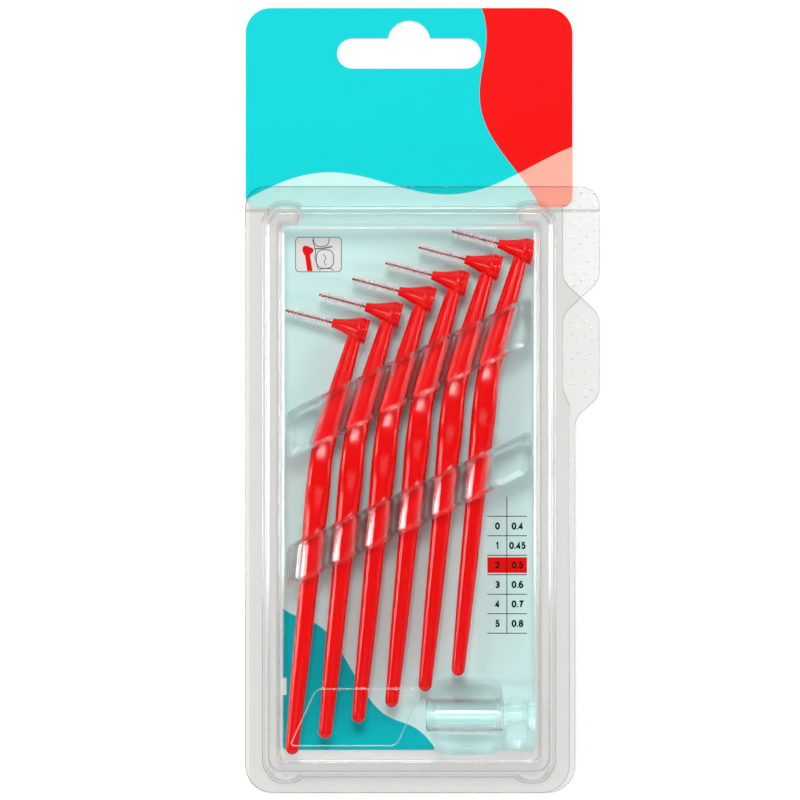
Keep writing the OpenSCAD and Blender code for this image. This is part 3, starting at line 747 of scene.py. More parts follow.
@dataclass
class FormedShell:
    """One half of the clamshell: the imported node's own form, welded and smoothed.

    Args:
        node: Name of the CAD node.
        body: The body that it moves with.
        parting: How far the face on the other half is moved, so that two clear faces share no plane.
        touching: Height of that face.
        weld: Distance under which two points are one.
        level: Distance under which a point counts as lying on the touching face.
        flat: Angle in degrees under which two faces are one.
        crease: Angle in degrees over which an edge is rounded.
        fillet: Rounding of its formed edges.
        smooth: Angle in degrees under which formed edges are smooth.
    """

    node: str
    body: Body
    parting: float = 0.006
    touching: float = 0.4
    weld: float = 0.01
    level: float = 0.0001
    flat: float = 0.4
    crease: float = 38.0
    fillet: float = 0.16
    smooth: float = 34.0

    def build(self, material: Material) -> Object:
        """Copies, welds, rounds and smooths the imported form.

        Args:
            material: The clear sheet.

        Returns:
            The dressed shell.
        """
        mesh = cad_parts[self.node].data.copy()
        work = bmesh.new()
        work.from_mesh(mesh)
        bmesh.ops.remove_doubles(work, verts=work.verts, dist=self.weld * MM)
        for vert in work.verts:
            if abs(vert.co.z - self.touching * MM) < self.level * MM:
                vert.co.z += self.parting * MM
        flat, limit = math.radians(self.flat), math.radians(self.crease)
        bmesh.ops.dissolve_limit(work, angle_limit=flat, verts=work.verts, edges=work.edges)
        creases = [e for e in work.edges if e.is_manifold and e.calc_face_angle(0.0) > limit]
        bmesh.ops.bevel(work, geom=creases, offset=self.fillet * MM, offset_type="OFFSET", segments=2,
                        profile=0.5, affect="EDGES", clamp_overlap=False)
        bmesh.ops.recalc_face_normals(work, faces=work.faces)
        work.to_mesh(mesh)
        work.free()
        for key in ("custom_normal", "sharp_edge", "sharp_face"):
            found = mesh.attributes.get(key)
            if found is not None:
                mesh.attributes.remove(found)
        thing = put(self.node + "_sheet", mesh, material, self.smooth)
        self.settle_normals(thing)
        return fasten(thing, self.body, (self.node,))

    def settle_normals(self, thing: Object) -> None:
        """Weighs the smoothed normals by face size, so that large flat faces stay flat.

        Args:
            thing: The smoothed object.
        """
        modifier = thing.modifiers.new("weigh", "WEIGHTED_NORMAL")
        modifier.mode, modifier.weight, modifier.keep_sharp = "FACE_AREA", 100, True
        settled = evaluated(thing, thing.name)
        thing.modifiers.remove(modifier)
        thing.data = settled


@dataclass
class GripDots:
    """The raised grip dots on one tab.

    Args:
        name: Name of the piece.
        body: The body that it moves with.
        slot: The material slot; not used.
        x: Distance from the centre line to the first column.
        y: Height of the lowest dot.
        z: Height of the tab's face.
        rows: Dots in a column.
        column_pitch: Step from column to column.
        row_pitch: Step from dot to dot.
        columns: Number of columns.
        dot_length: Length of a dot across the pack.
        dot_width: Width of a dot up the pack.
        dot_height: Height of a dot over the face.
        segments: Faces round a dot.
        rings: Faces from pole to pole.
        smooth: Angle in degrees under which edges are smooth.
    """

    name: str
    body: Body
    slot: str
    x: float
    y: float
    z: float
    rows: int
    column_pitch: float
    row_pitch: float = 2.76
    columns: int = 4
    dot_length: float = 0.78
    dot_width: float = 0.36
    dot_height: float = 0.16
    segments: int = 10
    rings: int = 6
    smooth: float = 60.0

    def build(self, material: Material) -> Object:
        """Grows the dots on a grid whose every other column is shifted by half a step.

        Args:
            material: The dots' finish.

        Returns:
            The dressed dots.
        """
        r = Recipe(self.name, {
            "Columns": self.columns, "Rows": self.rows, "Column Pitch": self.column_pitch * MM,
            "Row Pitch": self.row_pitch * MM, "Dot Length": self.dot_length * MM,
            "Dot Width": self.dot_width * MM, "Dot Height": self.dot_height * MM})
        index = r.add("GeometryNodeInputIndex").outputs[0]
        column = r.calc("FLOOR", r.calc("DIVIDE", index, r.given["Rows"]))
        row = r.calc("SUBTRACT", index, r.scaled(column, r.given["Rows"]))
        shift = r.scaled(r.calc("MODULO", column, 2.0), 0.5)
        where = r.vector(r.scaled(column, r.given["Column Pitch"]),
                         r.scaled(r.calc("ADD", row, shift), r.given["Row Pitch"]), 0.0)
        ball = r.add("GeometryNodeMeshUVSphere", {
            "Segments": self.segments, "Rings": self.rings, "Radius": 1.0})
        half = r.vector(r.scaled(r.given["Dot Length"], 0.5), r.scaled(r.given["Dot Width"], 0.5),
                        r.given["Dot Height"])
        dot = r.add("GeometryNodeTransform", {"Geometry": ball.outputs[0], "Scale": half})
        dots = r.add("GeometryNodeInstanceOnPoints", {
            "Points": r.points(r.scaled(r.given["Columns"], r.given["Rows"]), where),
            "Instance": dot.outputs[0]})
        place = Matrix.Translation(SHEET.point(self.x, self.y, self.z))
        return fasten(r.grow(self.name, dots, material, place, self.smooth), self.body)


@dataclass(frozen=True)
class BrushSizes:
    """Sizes of one brush in millimetres and degrees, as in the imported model.

    Places along the handle run from its bend towards the tail, and places on the head from its nose.
    """

    tail_length: float = 68.2
    neck_length: float = 27.3
    tail_tilt: float = 5.7
    neck_tilt: float = 16.4
    handle_bend: float = 48.0
    # Squareness of the handle's section
    section_power: float = 3.0
    # How much squarer the section is at the grip
    grip_power: float = 2.4
    grip_centre: float = 5.0
    grip_reach: float = 5.0
    # Places along the handle with its width there
    widths: tuple[Point, ...] = (
        (-27.3, 3.1), (-25.389, 3.1), (-16.38, 4.0), (-4.914, 5.0), (3.0, 5.0), (10.0, 5.5),
        (20.0, 5.0), (30.0, 4.2), (49.1, 3.767), (68.2, 2.9))
    tail_width: float = 2.9
    # Length over which the widths' corners are softened, to each side
    soften: float = 1.6
    # Number of places that are averaged for it
    soften_samples: int = 9
    # Place, half length and height of each rise on the handle's top
    crests: tuple[tuple[float, float, float], ...] = ((2.9, 3.4, 0.6), (8.0, 3.3, 0.4))
    # Number of steps along the handle
    stations: int = 96
    tail_angles: tuple[float, ...] = (18.0, 34.0, 48.0, 60.0, 70.0, 79.0, 86.0)
    handle_sides: int = 40
    head_sides: int = 56
    # Angles in degrees under which edges are smooth
    handle_smooth: float = 50.0
    wire_smooth: float = 60.0
    head_tilt: float = 14.6
    head_length: float = 8.1
    # Distance from the handle's axis to the nose
    nose_reach: float = 5.7
    nose_radius: float = 1.05
    disc_radius: float = 2.85
    # Length of the back behind the groove
    disc_thickness: float = 0.75
    groove_depth: float = 0.22
    groove_width: float = 0.2
    groove_edge: float = 0.07
    # How far the groove's walls lean
    groove_slant: float = 0.03
    flare_length: float = 5.4
    # How late the flare opens
    flare_power: float = 1.45
    flare_steps: int = 20
    head_round: float = 0.25
    nose_steps: int = 4
    back_steps: int = 5
    # Radius that stands for a point on the axis
    pole: float = 0.02
    wire_length: float = 10.6
    # Length of the drawn wire inside the head
    wire_anchor: float = 1.0
    strand_radius: float = 0.14
    # How much thicker a strand is drawn, so that the two meet
    strand_overlap: float = 1.08
    strand_sides: int = 7
    turn_steps: int = 14
    twist_pitch: float = 0.95
    tip_radius: float = 0.23
    tip_segments: int = 12
    tip_rings: int = 8
    tip_bare: float = 0.35
    nose_bare: float = 0.6
    filament_reach: float = 1.3
    filament_radius: float = 0.065
    filament_sides: int = 4
    # Share of the radius left at a bristle's end
    filament_taper: float = 0.7
    filaments: int = 336
    tuft_pitch: float = 1.25
    # How far a bristle strays round the wire, in radians
    jitter: float = 0.16
    # Least and greatest angle of a bristle to the wire, in radians
    lean: Point = (1.42, 1.66)
    # Least and greatest share of a bristle's length
    trim: Point = (0.9, 1.0)
    # Seed of the draws before the brush's number is added
    first_seed: int = 40


@dataclass
class Brush:
    """One angled brush: handle with head, twisted wire and bristles.

    Args:
        number: Number of the brush, from 1 at the hinge.
        x: Distance from the centre line to its bend.
        y: Height of its bend above the shell's bottom edge.
        z: Height of its middle plane above the back.
        sizes: Its sizes.
    """

    number: int
    x: float
    y: float
    z: float
    sizes: BrushSizes = BrushSizes()

    def bend(self) -> tuple[float, float, float]:
        """Finds the bend.

        Returns:
            The heading before it and its turn in radians, and its reach to each side in millimetres.
        """
        turn = math.radians(self.sizes.neck_tilt - self.sizes.tail_tilt)
        return math.radians(270 - self.sizes.neck_tilt), turn, self.sizes.handle_bend * math.tan(turn / 2)

    def heading(self, s: float) -> float:
        """Finds the handle's heading at a distance from its bend, in radians."""
        first, turn, reach = self.bend()
        return first + turn * min(1.0, max(0.0, (s + reach) / (2 * reach)))

    def spine(self, s: float) -> Vector:
        """Finds a point of the handle's middle line.

        Args:
            s: Distance along the handle from its bend, towards the tail.

        Returns:
            The point in millimetres, from the bend.
        """
        first, turn, reach = self.bend()
        if s < -reach:
            return s * ray(first)
        if s > reach:
            return s * ray(first + turn)
        quarter = math.pi / 2
        chord = ray(first + quarter) - ray(self.heading(s) + quarter)
        return self.sizes.handle_bend * chord - reach * ray(first)

    def half_width(self, s: float) -> float:
        """Finds half the handle's width, with the table's corners softened.

        Args:
            s: Distance along the handle from its bend.

        Returns:
            Half the width in millimetres, with the round tail end.
        """
        table, samples = self.sizes.widths, self.sizes.soften_samples
        total = 0.0
        for i in range(samples):
            at = s + self.sizes.soften * (2 * i / (samples - 1) - 1)
            at = min(table[-1][0], max(table[0][0], at))
            for (s0, w0), (s1, w1) in zip(table, table[1:]):
                if at <= s1:
                    total += w0 + (w1 - w0) * (at - s0) / (s1 - s0)
                    break
        radius = self.sizes.tail_width / 2
        t = min(1.0, max(0.0, (s - self.sizes.tail_length + radius) / radius))
        return total / samples / 2 * math.sqrt(max(0.0, 1 - t * t))

    def section(self, s: float) -> list[Vector]:
        """Draws one cross section of the handle.

        Args:
            s: Distance along the handle from its bend.

        Returns:
            The ring's points in the row frame.
        """
        half, centre, across = self.half_width(s), self.spine(s), ray(self.heading(s) + math.pi / 2)
        crest = sum(high * math.exp(-((s - at) / reach) ** 2) for at, reach, high in self.sizes.crests)
        grip = math.exp(-((s - self.sizes.grip_centre) / self.sizes.grip_reach) ** 2)
        power = self.sizes.section_power + self.sizes.grip_power * grip
        ring, sides = [], self.sizes.handle_sides
        for wide, deep in bow((0.0, 0.0), (1.0, 1.0), 0.0, 360.0, sides, 2 / power)[:sides]:
            point = centre + across * (half * wide)
            depth = half + (crest if deep > 0 else 0.0)
            ring.append(SHEET.point(self.x + point.x, self.y + point.y, self.z + depth * deep))
        return ring

    def head_place(self, at: float = 0.0) -> Matrix:
        """Finds a frame on the head's axis, with its Z axis from the nose to the back.

        The frame is left-handed, so what is placed with it has its faces turned outwards afterwards.

        Args:
            at: Distance of the frame from the nose.

        Returns:
            The frame as a matrix in the row frame.
        """
        tilt = math.radians(self.sizes.head_tilt)
        along, side = ray(-tilt), ray(math.pi / 2 - tilt)
        nose = self.spine(-self.sizes.neck_length) - self.sizes.nose_reach * along
        place = Matrix.Translation(SHEET.point(self.x + nose.x, self.y + nose.y, self.z))
        turn = Matrix((side, Vector((0.0, 0.0, -1.0)), along)).transposed().to_4x4()
        return place @ turn @ Matrix.Translation(Vector((0.0, 0.0, at * MM)))

    def head_profile(self) -> list[Point]:
        """Draws the head's profile as radius and distance from the nose.

        Returns:
            The profile from the nose to the back.
        """
        z = self.sizes
        edge, soft, slant = z.head_round, z.groove_edge, z.groove_slant
        shoulder = z.head_length - z.disc_thickness - z.groove_width
        floor, wide = z.disc_radius - z.groove_depth, z.disc_radius - edge / 2
        nose = bow((z.nose_radius - edge, edge), (edge, edge), -90.0, 0.0, z.nose_steps)
        profile = [(z.pole, 0.0)] + nose
        for i in range(1, z.flare_steps + 1):
            share = i / z.flare_steps
            radius = z.nose_radius + (wide - z.nose_radius) * share ** z.flare_power
            profile.append((radius, edge + z.flare_length * share))
        for i in range(1, z.back_steps + 1):
            share = i / z.back_steps
            rise = edge / 2 * math.sin(math.pi / 2 * share)
            profile.append((wide + rise, z.flare_length + edge + edge * share))
        profile += [
            (z.disc_radius, shoulder - soft), (z.disc_radius - soft, shoulder), (floor, shoulder + slant),
            (floor, shoulder + z.groove_width - slant), (z.disc_radius - soft, shoulder + z.groove_width),
            (z.disc_radius, shoulder + z.groove_width + soft)]
        profile += bow((z.disc_radius - edge, z.head_length - edge), (edge, edge), 0.0, 90.0, z.back_steps)
        return profile + [(z.disc_radius / 2, z.head_length), (z.pole, z.head_length)]

    def build_handle(self, material: Material) -> Object:
        """Builds the handle with its head.

        Args:
            material: The red plastic.

        Returns:
            The dressed handle.
        """
        z = self.sizes
        straight = z.tail_length - z.tail_width / 2
        step = (straight + z.neck_length) / z.stations
        stations = [step * i - z.neck_length for i in range(z.stations + 1)]
        stations += [straight + z.tail_width / 2 * math.sin(math.radians(a)) for a in z.tail_angles]
        shape = Shape()
        shape.skin([self.section(s) for s in stations])
        shape.turn(self.head_profile(), self.head_place(), z.head_sides)
        thing = shape.build(f"brush_{self.number}_handle_form", material, z.handle_smooth)
        return fasten(thing, Body.FRONT, (f"brush_{self.number}_handle",))

    def build_wire(self, material: Material) -> Object:
        """Grows the twisted pair of wires with its round tip.

        Args:
            material: The coated wire.

        Returns:
            The dressed wire.
        """
        z = self.sizes
        length = z.wire_length + z.wire_anchor - z.tip_radius
        r = Recipe(f"twisted_wire_{self.number}", {
            "Length": length * MM, "Turns": length / z.twist_pitch, "Strand Radius": z.strand_radius * MM,
            "Tip Radius": z.tip_radius * MM})
        radius = r.given["Strand Radius"]
        spiral = r.add("GeometryNodeCurveSpiral", {
            "Resolution": z.turn_steps, "Rotations": r.given["Turns"], "Start Radius": radius,
            "End Radius": radius, "Height": r.given["Length"]})
        ring = r.add("GeometryNodeCurvePrimitiveCircle", {
            "Resolution": z.strand_sides, "Radius": r.scaled(radius, z.strand_overlap)})
        strand = r.add("GeometryNodeCurveToMesh", {
            "Curve": spiral.outputs[0], "Profile Curve": ring.outputs[0], "Fill Caps": True})
        turned = r.add("GeometryNodeTransform", {
            "Geometry": strand.outputs[0], "Rotation": (0.0, 0.0, math.pi)})
        ball = r.add("GeometryNodeMeshUVSphere", {
            "Segments": z.tip_segments, "Rings": z.tip_rings, "Radius": r.given["Tip Radius"]})
        pair = r.add("GeometryNodeJoinGeometry")
        for part in (strand, turned, ball):
            r.tree.links.new(part.outputs[0], pair.inputs[0])
        place = self.head_place(z.tip_radius - z.wire_length)
        thing = r.grow(f"brush_{self.number}_twisted_wire", pair, material, place, z.wire_smooth)
        return fasten(thing, Body.FRONT, (f"brush_{self.number}_wire",))

    def build_bristles(self, material: Material) -> Object:
        """Grows the bristles in a helix round the wire.

        Args:
            material: The filament.

        Returns:
            The dressed bristles.
        """
        z = self.sizes
        r = Recipe(f"bristles_{self.number}", {
            "Count": z.filaments, "Length": (z.wire_length - z.tip_bare - z.nose_bare) * MM,
            "Reach": z.filament_reach * MM, "Radius": z.filament_radius * MM,
            "Twist": 2 * math.pi / (z.tuft_pitch * MM), "Seed": z.first_seed + self.number})
        index = r.add("GeometryNodeInputIndex").outputs[0]
        along = r.scaled(index, r.calc("DIVIDE", r.given["Length"], r.given["Count"]))
        cone = r.add("GeometryNodeMeshCone", {
            "Vertices": z.filament_sides, "Radius Top": r.scaled(r.given["Radius"], z.filament_taper),
            "Radius Bottom": r.given["Radius"], "Depth": r.given["Reach"]})
        side = r.scaled(r.calc("MODULO", index, 2.0), math.pi)
        wound = r.calc("ADD", r.scaled(along, r.given["Twist"]), side)
        spin = r.calc("ADD", wound, r.random(-z.jitter, z.jitter))
        grown = r.add("GeometryNodeInstanceOnPoints", {
            "Points": r.points(r.given["Count"], r.vector(0.0, 0.0, along)), "Instance": cone.outputs[0],
            "Rotation": r.vector(0.0, r.random(*z.lean), spin),
            "Scale": r.vector(1.0, 1.0, r.random(*z.trim))})
        place = self.head_place(z.tip_bare - z.wire_length)
        thing = r.grow(f"brush_{self.number}_filaments", grown, material, place)
        return fasten(thing, Body.FRONT, (f"brush_{self.number}_bristles",))

    def build(self, finishes: Finishes) -> None:
        """Builds the whole brush.

        Args:
            finishes: The pack's materials.
        """
        self.build_handle(finishes.handle)
        self.build_wire(finishes.wire)
        self.build_bristles(finishes.filament)


@dataclass
class BrushRow:
    """The six brushes side by side.

    Args:
        count: Number of brushes.
        first_x: Distance from the centre line to the first bend.
        first_y: Height of the first bend.
        level: Height of the brushes' middle plane.
        step_x: Step across the pack.
        step_y: Step up the pack.
    """

    count: int = 6
    first_x: float = -19.2
    first_y: float = 76.813
    level: float = 7.0
    step_x: float = 7.34
    step_y: float = 3.49

    def build(self, finishes: Finishes) -> None:
        """Builds all the brushes.

        Args:
            finishes: The pack's materials.
        """
        for i in range(self.count):
            x, y = self.first_x + i * self.step_x, self.first_y + i * self.step_y
            Brush(i + 1, x, y, self.level).build(finishes)


@dataclass
class Cap:
    """The protective cap: an open barrel, a stem and an end collar.

    Args:
        x: Distance from the centre line to its open end.
        y: Height of its axis above the shell's bottom edge.
        z: Height of its axis above the back.
        barrel: Outer radius of the barrel.
        bore: Radius of the bore.
        barrel_length: Length of the barrel.
        bore_depth: Depth of the bore.
        stem: Radius of the stem.
        stem_length: Length of the stem.
        collar: Radius of the collar.
        collar_length: Length of the collar.
        edge: Rounding of the outer edges.
        edge_steps: Steps of it.
        bore_edge: Slant at the bore's end.
        mouth: Slant at the bore's mouth.
        root: Slant at the stem's ends.
        pole: Radius that stands for a point on the axis.
        sides: Points round the axis.
        smooth: Angle in degrees under which edges are smooth.
    """

    x: float = 3.799
    y: float = 17.6
    z: float = 4.6
    barrel: float = 3.65
    bore: float = 2.95
    barrel_length: float = 17.1
    bore_depth: float = 15.8
    stem: float = 2.25
    stem_length: float = 5.2
    collar: float = 3.15
    collar_length: float = 2.1
    edge: float = 0.5
    edge_steps: int = 5
    bore_edge: float = 0.3
    mouth: float = 0.12
    root: float = 0.15
    pole: float = 0.02
    sides: int = 64
    smooth: float = 40.0

    def drum(self, radius: float, low: float, high: float) -> list[Point]:
        """Draws the outer line of a drum with two round edges.

        Args:
            radius: Its radius.
            low: Distance to its first end.
            high: Distance to its second end.

        Returns:
            The line's points as radius and distance.
        """
        inner, size = radius - self.edge, (self.edge, self.edge)
        first = bow((inner, low + self.edge), size, -90.0, 0.0, self.edge_steps)
        return first + bow((inner, high - self.edge), size, 0.0, 90.0, self.edge_steps)

    def build(self, material: Material) -> Object:
        """Turns the profile round the cap's axis.

        Args:
            material: The clear plastic.

        Returns:
            The dressed cap.
        """
        stem_end = self.barrel_length + self.stem_length
        end = stem_end + self.collar_length
        profile = [(self.pole, self.bore_depth), (self.bore - self.bore_edge, self.bore_depth),
                   (self.bore, self.bore_depth - self.bore_edge), (self.bore, self.mouth),
                   (self.bore + self.mouth, 0.0)]
        profile += self.drum(self.barrel, 0.0, self.barrel_length)
        profile += [(self.stem + self.root, self.barrel_length), (self.stem, self.barrel_length + self.root),
                    (self.stem, stem_end - self.root), (self.stem + self.root, stem_end)]
        profile += self.drum(self.collar, stem_end, end) + [(self.pole, end)]
        axes = Matrix(((0.0, 0.0, 1.0), (1.0, 0.0, 0.0), (0.0, 1.0, 0.0))).to_4x4()
        shape = Shape()
        shape.turn(profile, Matrix.Translation(SHEET.point(self.x, self.y, self.z)) @ axes, self.sides)
        thing = shape.build("protective_cap_form", material, self.smooth)
        return fasten(thing, Body.FRONT, ("protective_cap",))


@dataclass
class CardPrint:
    """Things printed on the card, laid on it as very thin plates.

    Args:
        face: Height of the card's face.
        sink: How far each plate reaches into the card.
        thickness: How far each plate stands over the card.
        mitre: Least share of the width at a sharp corner.
    """

    face: float = 0.8
    sink: float = 0.01
    thickness: float = 0.012
    mitre: float = 0.5

    def plate(self, shape: Shape, outline: list[Point], layer: int = 0) -> None:
        """Lays a flat outline, counter-clockwise in the drawing frame, on the card over so many prints."""
        rise = self.thickness * (1 + layer)
        shape.prism([SHEET.point(x, y, self.face - self.sink) for x, y in outline], self.sink + rise)

    def line(self, shape: Shape, path: list[Point], width: float, layer: int = 0,
             sweep: Sweep = Sweep.OPEN) -> None:
        """Lays a line of even width on the card, mitred at its corners.

        Args:
            shape: The shape that takes it.
            path: Points of its middle line.
            width: Width of the line.
            layer: How many prints lie under it.
            sweep: Whether it closes.
        """
        closed, n = sweep is Sweep.CLOSED, len(path)
        low, high = self.face - self.sink, self.face + self.thickness * (1 + layer)
        rings = []
        for i, (x, y) in enumerate(path):
            before = path[i - 1] if i or closed else None
            after = path[(i + 1) % n] if i < n - 1 or closed else None
            steps = [Vector((q[0] - p[0], q[1] - p[1])).normalized()
                     for p, q in ((before, (x, y)), ((x, y), after)) if p is not None and q is not None]
            along = sum(steps, Vector((0.0, 0.0))).normalized()
            reach = width / 2 / max(self.mitre, along.dot(steps[0]))
            left = (x - along.y * reach, y + along.x * reach)
            right = (x + along.y * reach, y - along.x * reach)
            rings.append([SHEET.point(*side, z) for side, z in (
                (right, low), (right, high), (left, high), (left, low))])
        shape.skin(rings, sweep)

    def lay(self, shape: Shape, name: str, material: Material) -> Object:
        """Makes a printed piece of its ink and fastens it to the card's body."""
        return fasten(shape.build(name, material), Body.REAR)


STROKES: dict[str, list[tuple[Sweep, list[Point]]]] = {
    "0": [(Sweep.CLOSED, bow((0.5, 0.5), (0.4, 0.43), 0, 342, 19))],
    "1": [(Sweep.OPEN, [(0.22, 0.72), (0.45, 0.8), (0.58, 0.98), (0.58, 0.02)])],
    "2": [(Sweep.OPEN, bow((0.5, 0.68), (0.37, 0.25), 170, -35, 10) + [(0.13, 0.1), (0.9, 0.1)])],
    "3": [(Sweep.OPEN, bow((0.48, 0.7), (0.34, 0.22), 160, -80) + bow((0.48, 0.3), (0.39, 0.23), 80, -160))],
    "4": [(Sweep.OPEN, [(0.92, 0.29), (0.1, 0.29), (0.66, 0.93), (0.66, 0.01)])],
    "5": [(Sweep.OPEN, [(0.84, 0.92), (0.26, 0.92), (0.18, 0.5)]
           + bow((0.47, 0.34), (0.4, 0.27), 135, -155, 14))],
    "6": [(Sweep.CLOSED, bow((0.5, 0.32), (0.38, 0.26), 0, 340, 17)),
          (Sweep.OPEN, bow((0.62, 0.42), (0.5, 0.52), 192, 68, 10))],
    "7": [(Sweep.OPEN, [(0.12, 0.92), (0.88, 0.92), (0.55, 0.45), (0.44, 0.02)])],
    "8": [(Sweep.CLOSED, bow((0.5, 0.72), (0.31, 0.21), 0, 340, 17)),
          (Sweep.CLOSED, bow((0.5, 0.29), (0.38, 0.23), 0, 340, 17))],
    ".": [(Sweep.OPEN, [(0.5, 0.0), (0.5, 0.17)])],
}


@dataclass
class SizeTable(CardPrint):
    """The table of brush sizes: rules, a red row and plain numbers.

    Args:
        left: Left end of the rules.
        right: Right end of the rules.
        divider: Place of the upright rule.
        top: Height of the uppermost rule.
        row: Height of a row.
        rule: Width of the rules.
        head: How far the upright rule stands over the uppermost rule.
        digit: Width and height of a numeral.
        digit_advance: Room for a numeral.
        point_advance: Room for the decimal point.
        stroke: Width of the strokes.
        columns: Middles of the two columns.
        red_row: Which row is red.
        red_gaps: Gaps under and over the red bar.
        entries: Number and value of each row.
    """

    left: float = 17.4
    right: float = 26.2
    divider: float = 21.75
    top: float = 61.5
    row: float = 4.33
    rule: float = 0.17
    head: float = 4.3
    digit: Point = (0.9, 1.46)
    digit_advance: float = 1.06
    point_advance: float = 0.5
    stroke: float = 0.36
    columns: Point = (19.65, 24.1)
    red_row: int = 2
    red_gaps: Point = (0.4, 0.45)
    entries: tuple[tuple[str, str], ...] = (
        ("0", "0.4"), ("1", "0.45"), ("2", "0.5"), ("3", "0.6"), ("4", "0.7"), ("5", "0.8"))

    def build(self, finishes: Finishes) -> None:
        """Builds the rules, the red row and the numbers.

        Args:
            finishes: The pack's materials.
        """
        rules, bar = Shape(), Shape()
        heights = [self.top - self.row * i for i in range(len(self.entries) + 1)]
        for y in heights:
            self.line(rules, [(self.left, y), (self.right, y)], self.rule, 1)
        self.line(rules, [(self.divider, heights[-1]), (self.divider, self.top + self.head)], self.rule, 1)
        low = heights[self.red_row + 1] + self.red_gaps[0]
        high = heights[self.red_row] - self.red_gaps[1]
        self.plate(bar, [(self.left, low), (self.right, low), (self.right, high), (self.left, high)])
        self.lay(rules, "size_table_rules", finishes.dark_ink)
        self.lay(bar, "size_table_red_row", finishes.red_ink)
        self.lay(self.numbers(), "size_table_numbers", finishes.dark_ink)

    def numbers(self) -> Shape:
        """Draws the numbers with even strokes.

        Returns:
            Their shape.
        """
        shape, (wide, tall) = Shape(), self.digit
        for i, entry in enumerate(self.entries):
            low = self.top - self.row * (i + 0.5) - tall / 2
            for text, middle in zip(entry, self.columns):
                steps = [self.point_advance if sign == "." else self.digit_advance for sign in text]
                x = middle - sum(steps) / 2
                for sign, step in zip(text, steps):
                    left = x + (step - wide) / 2
                    for sweep, stroke in STROKES[sign]:
                        path = [(left + u * wide, low + v * tall) for u, v in stroke]
                        self.line(shape, path, self.stroke, 2, sweep)
                    x += step
        return shape


@dataclass
class Pictogram(CardPrint):
    """The small picture of an angled brush beside the outlines of teeth.

    Args:
        left: Left edge of its box.
        right: Right edge of its box.
        low: Lower edge of its box.
        high: Upper edge of its box.
        corner: Corner radius of the box.
        frame_width: Width of its outline.
        line_width: Width of the drawn lines.
        squareness: Power of the teeth's ovals, less for squarer ones.
    """

    left: float = -25.2
    right: float = -15.0
    low: float = 115.8
    high: float = 123.5
    corner: float = 0.9
    frame_width: float = 0.16
    line_width: float = 0.2
    squareness: float = 0.72

    def at(self, shares: list[Point]) -> list[Point]:
        """Turns shares of the box into places in the drawing frame."""
        return [(self.left + (self.right - self.left) * u, self.low + (self.high - self.low) * v)
                for u, v in shares]

    def outline(self) -> list[Point]:
        """Draws the box with round corners.

        Returns:
            The box's points, counter-clockwise.
        """
        r, points = self.corner, []
        for x, y, start in ((self.right - r, self.low + r, -90.0), (self.right - r, self.high - r, 0.0),
                            (self.left + r, self.high - r, 90.0), (self.left + r, self.low + r, 180.0)):
            points += bow((x, y), (r, r), start, start + 90.0, 6)
        return points

    def build(self, finishes: Finishes) -> None:
        """Builds the picture's ground, lines and brush.

        Args:
            finishes: The pack's materials.
        """
        ground, edge, lines, brush = Shape(), Shape(), Shape(), Shape()
        self.plate(ground, self.outline())
        self.line(edge, self.outline(), self.frame_width, 1, Sweep.CLOSED)
        lower_tooth_share = bow((0.64, 0.37), (0.19, 0.27), 0.0, 340.0, 30, self.squareness)
        upper_tooth_share = bow((0.56, 0.98), (0.17, 0.25), 180.0, 360.0, 18, self.squareness)
        next_tooth_share = bow((0.67, -0.02), (0.16, 0.12), 20.0, 160.0, 18, self.squareness)
        for shares, width_share, layer, sweep in (
                (lower_tooth_share, 1.0, 1, Sweep.CLOSED),
                (upper_tooth_share, 1.0, 1, Sweep.OPEN),
                (next_tooth_share, 1.0, 1, Sweep.OPEN),
                ([(0.61, 0.52), (0.66, 0.4), (0.62, 0.3), (0.66, 0.18)], 0.8, 1, Sweep.OPEN),
                ([(0.41, 0.66), (0.6, 0.68), (0.8, 0.73)], 1.6, 2, Sweep.OPEN),
                ([(0.37, 0.93), (0.44, 0.6), (0.42, 0.4), (0.5, 0.06)], 0.9, 1, Sweep.OPEN)):
            self.line(lines, self.at(shares), self.line_width * width_share, layer, sweep)
        self.plate(brush, self.at([
            (0.255, 0.02), (0.37, 0.02), (0.315, 0.5), (0.385, 0.57), (0.395, 0.63), (0.375, 0.68),
            (0.27, 0.74), (0.2, 0.76), (0.155, 0.71), (0.15, 0.6), (0.18, 0.5), (0.205, 0.48)]), 2)
        self.lay(ground, "picture_ground", finishes.pale_ink)
        self.lay(edge, "picture_edge", finishes.grey_ink)
        self.lay(lines, "picture_teeth", finishes.grey_ink)
        self.lay(brush, "picture_brush", finishes.red_ink)


@dataclass(frozen=True)
class Lamp:
    """A rectangular lamp that faces the pack.

    Args:
        name: Name of the lamp.
        place: Its row X, Y and Z.
        size: Its width and length.
        power: Its power in watts.
    """

    name: str
    place: Place
    size: Point
    power: float

    def hang(self, target: Vector) -> None:
        """Hangs the lamp.

        Args:
            target: The place that it faces, in metres.
        """
        light = bpy.data.lights.new(self.name, "AREA")
        light.shape, light.energy = "RECTANGLE", self.power
        light.size, light.size_y = self.size[0] * MM, self.size[1] * MM
        thing = bpy.data.objects.new(self.name, light)
        thing.location = Vector(self.place) * MM
        thing.rotation_mode = "QUATERNION"
        thing.rotation_quaternion = (target - thing.location).to_track_quat("-Z", "Y")
        bpy.context.scene.collection.objects.link(thing)


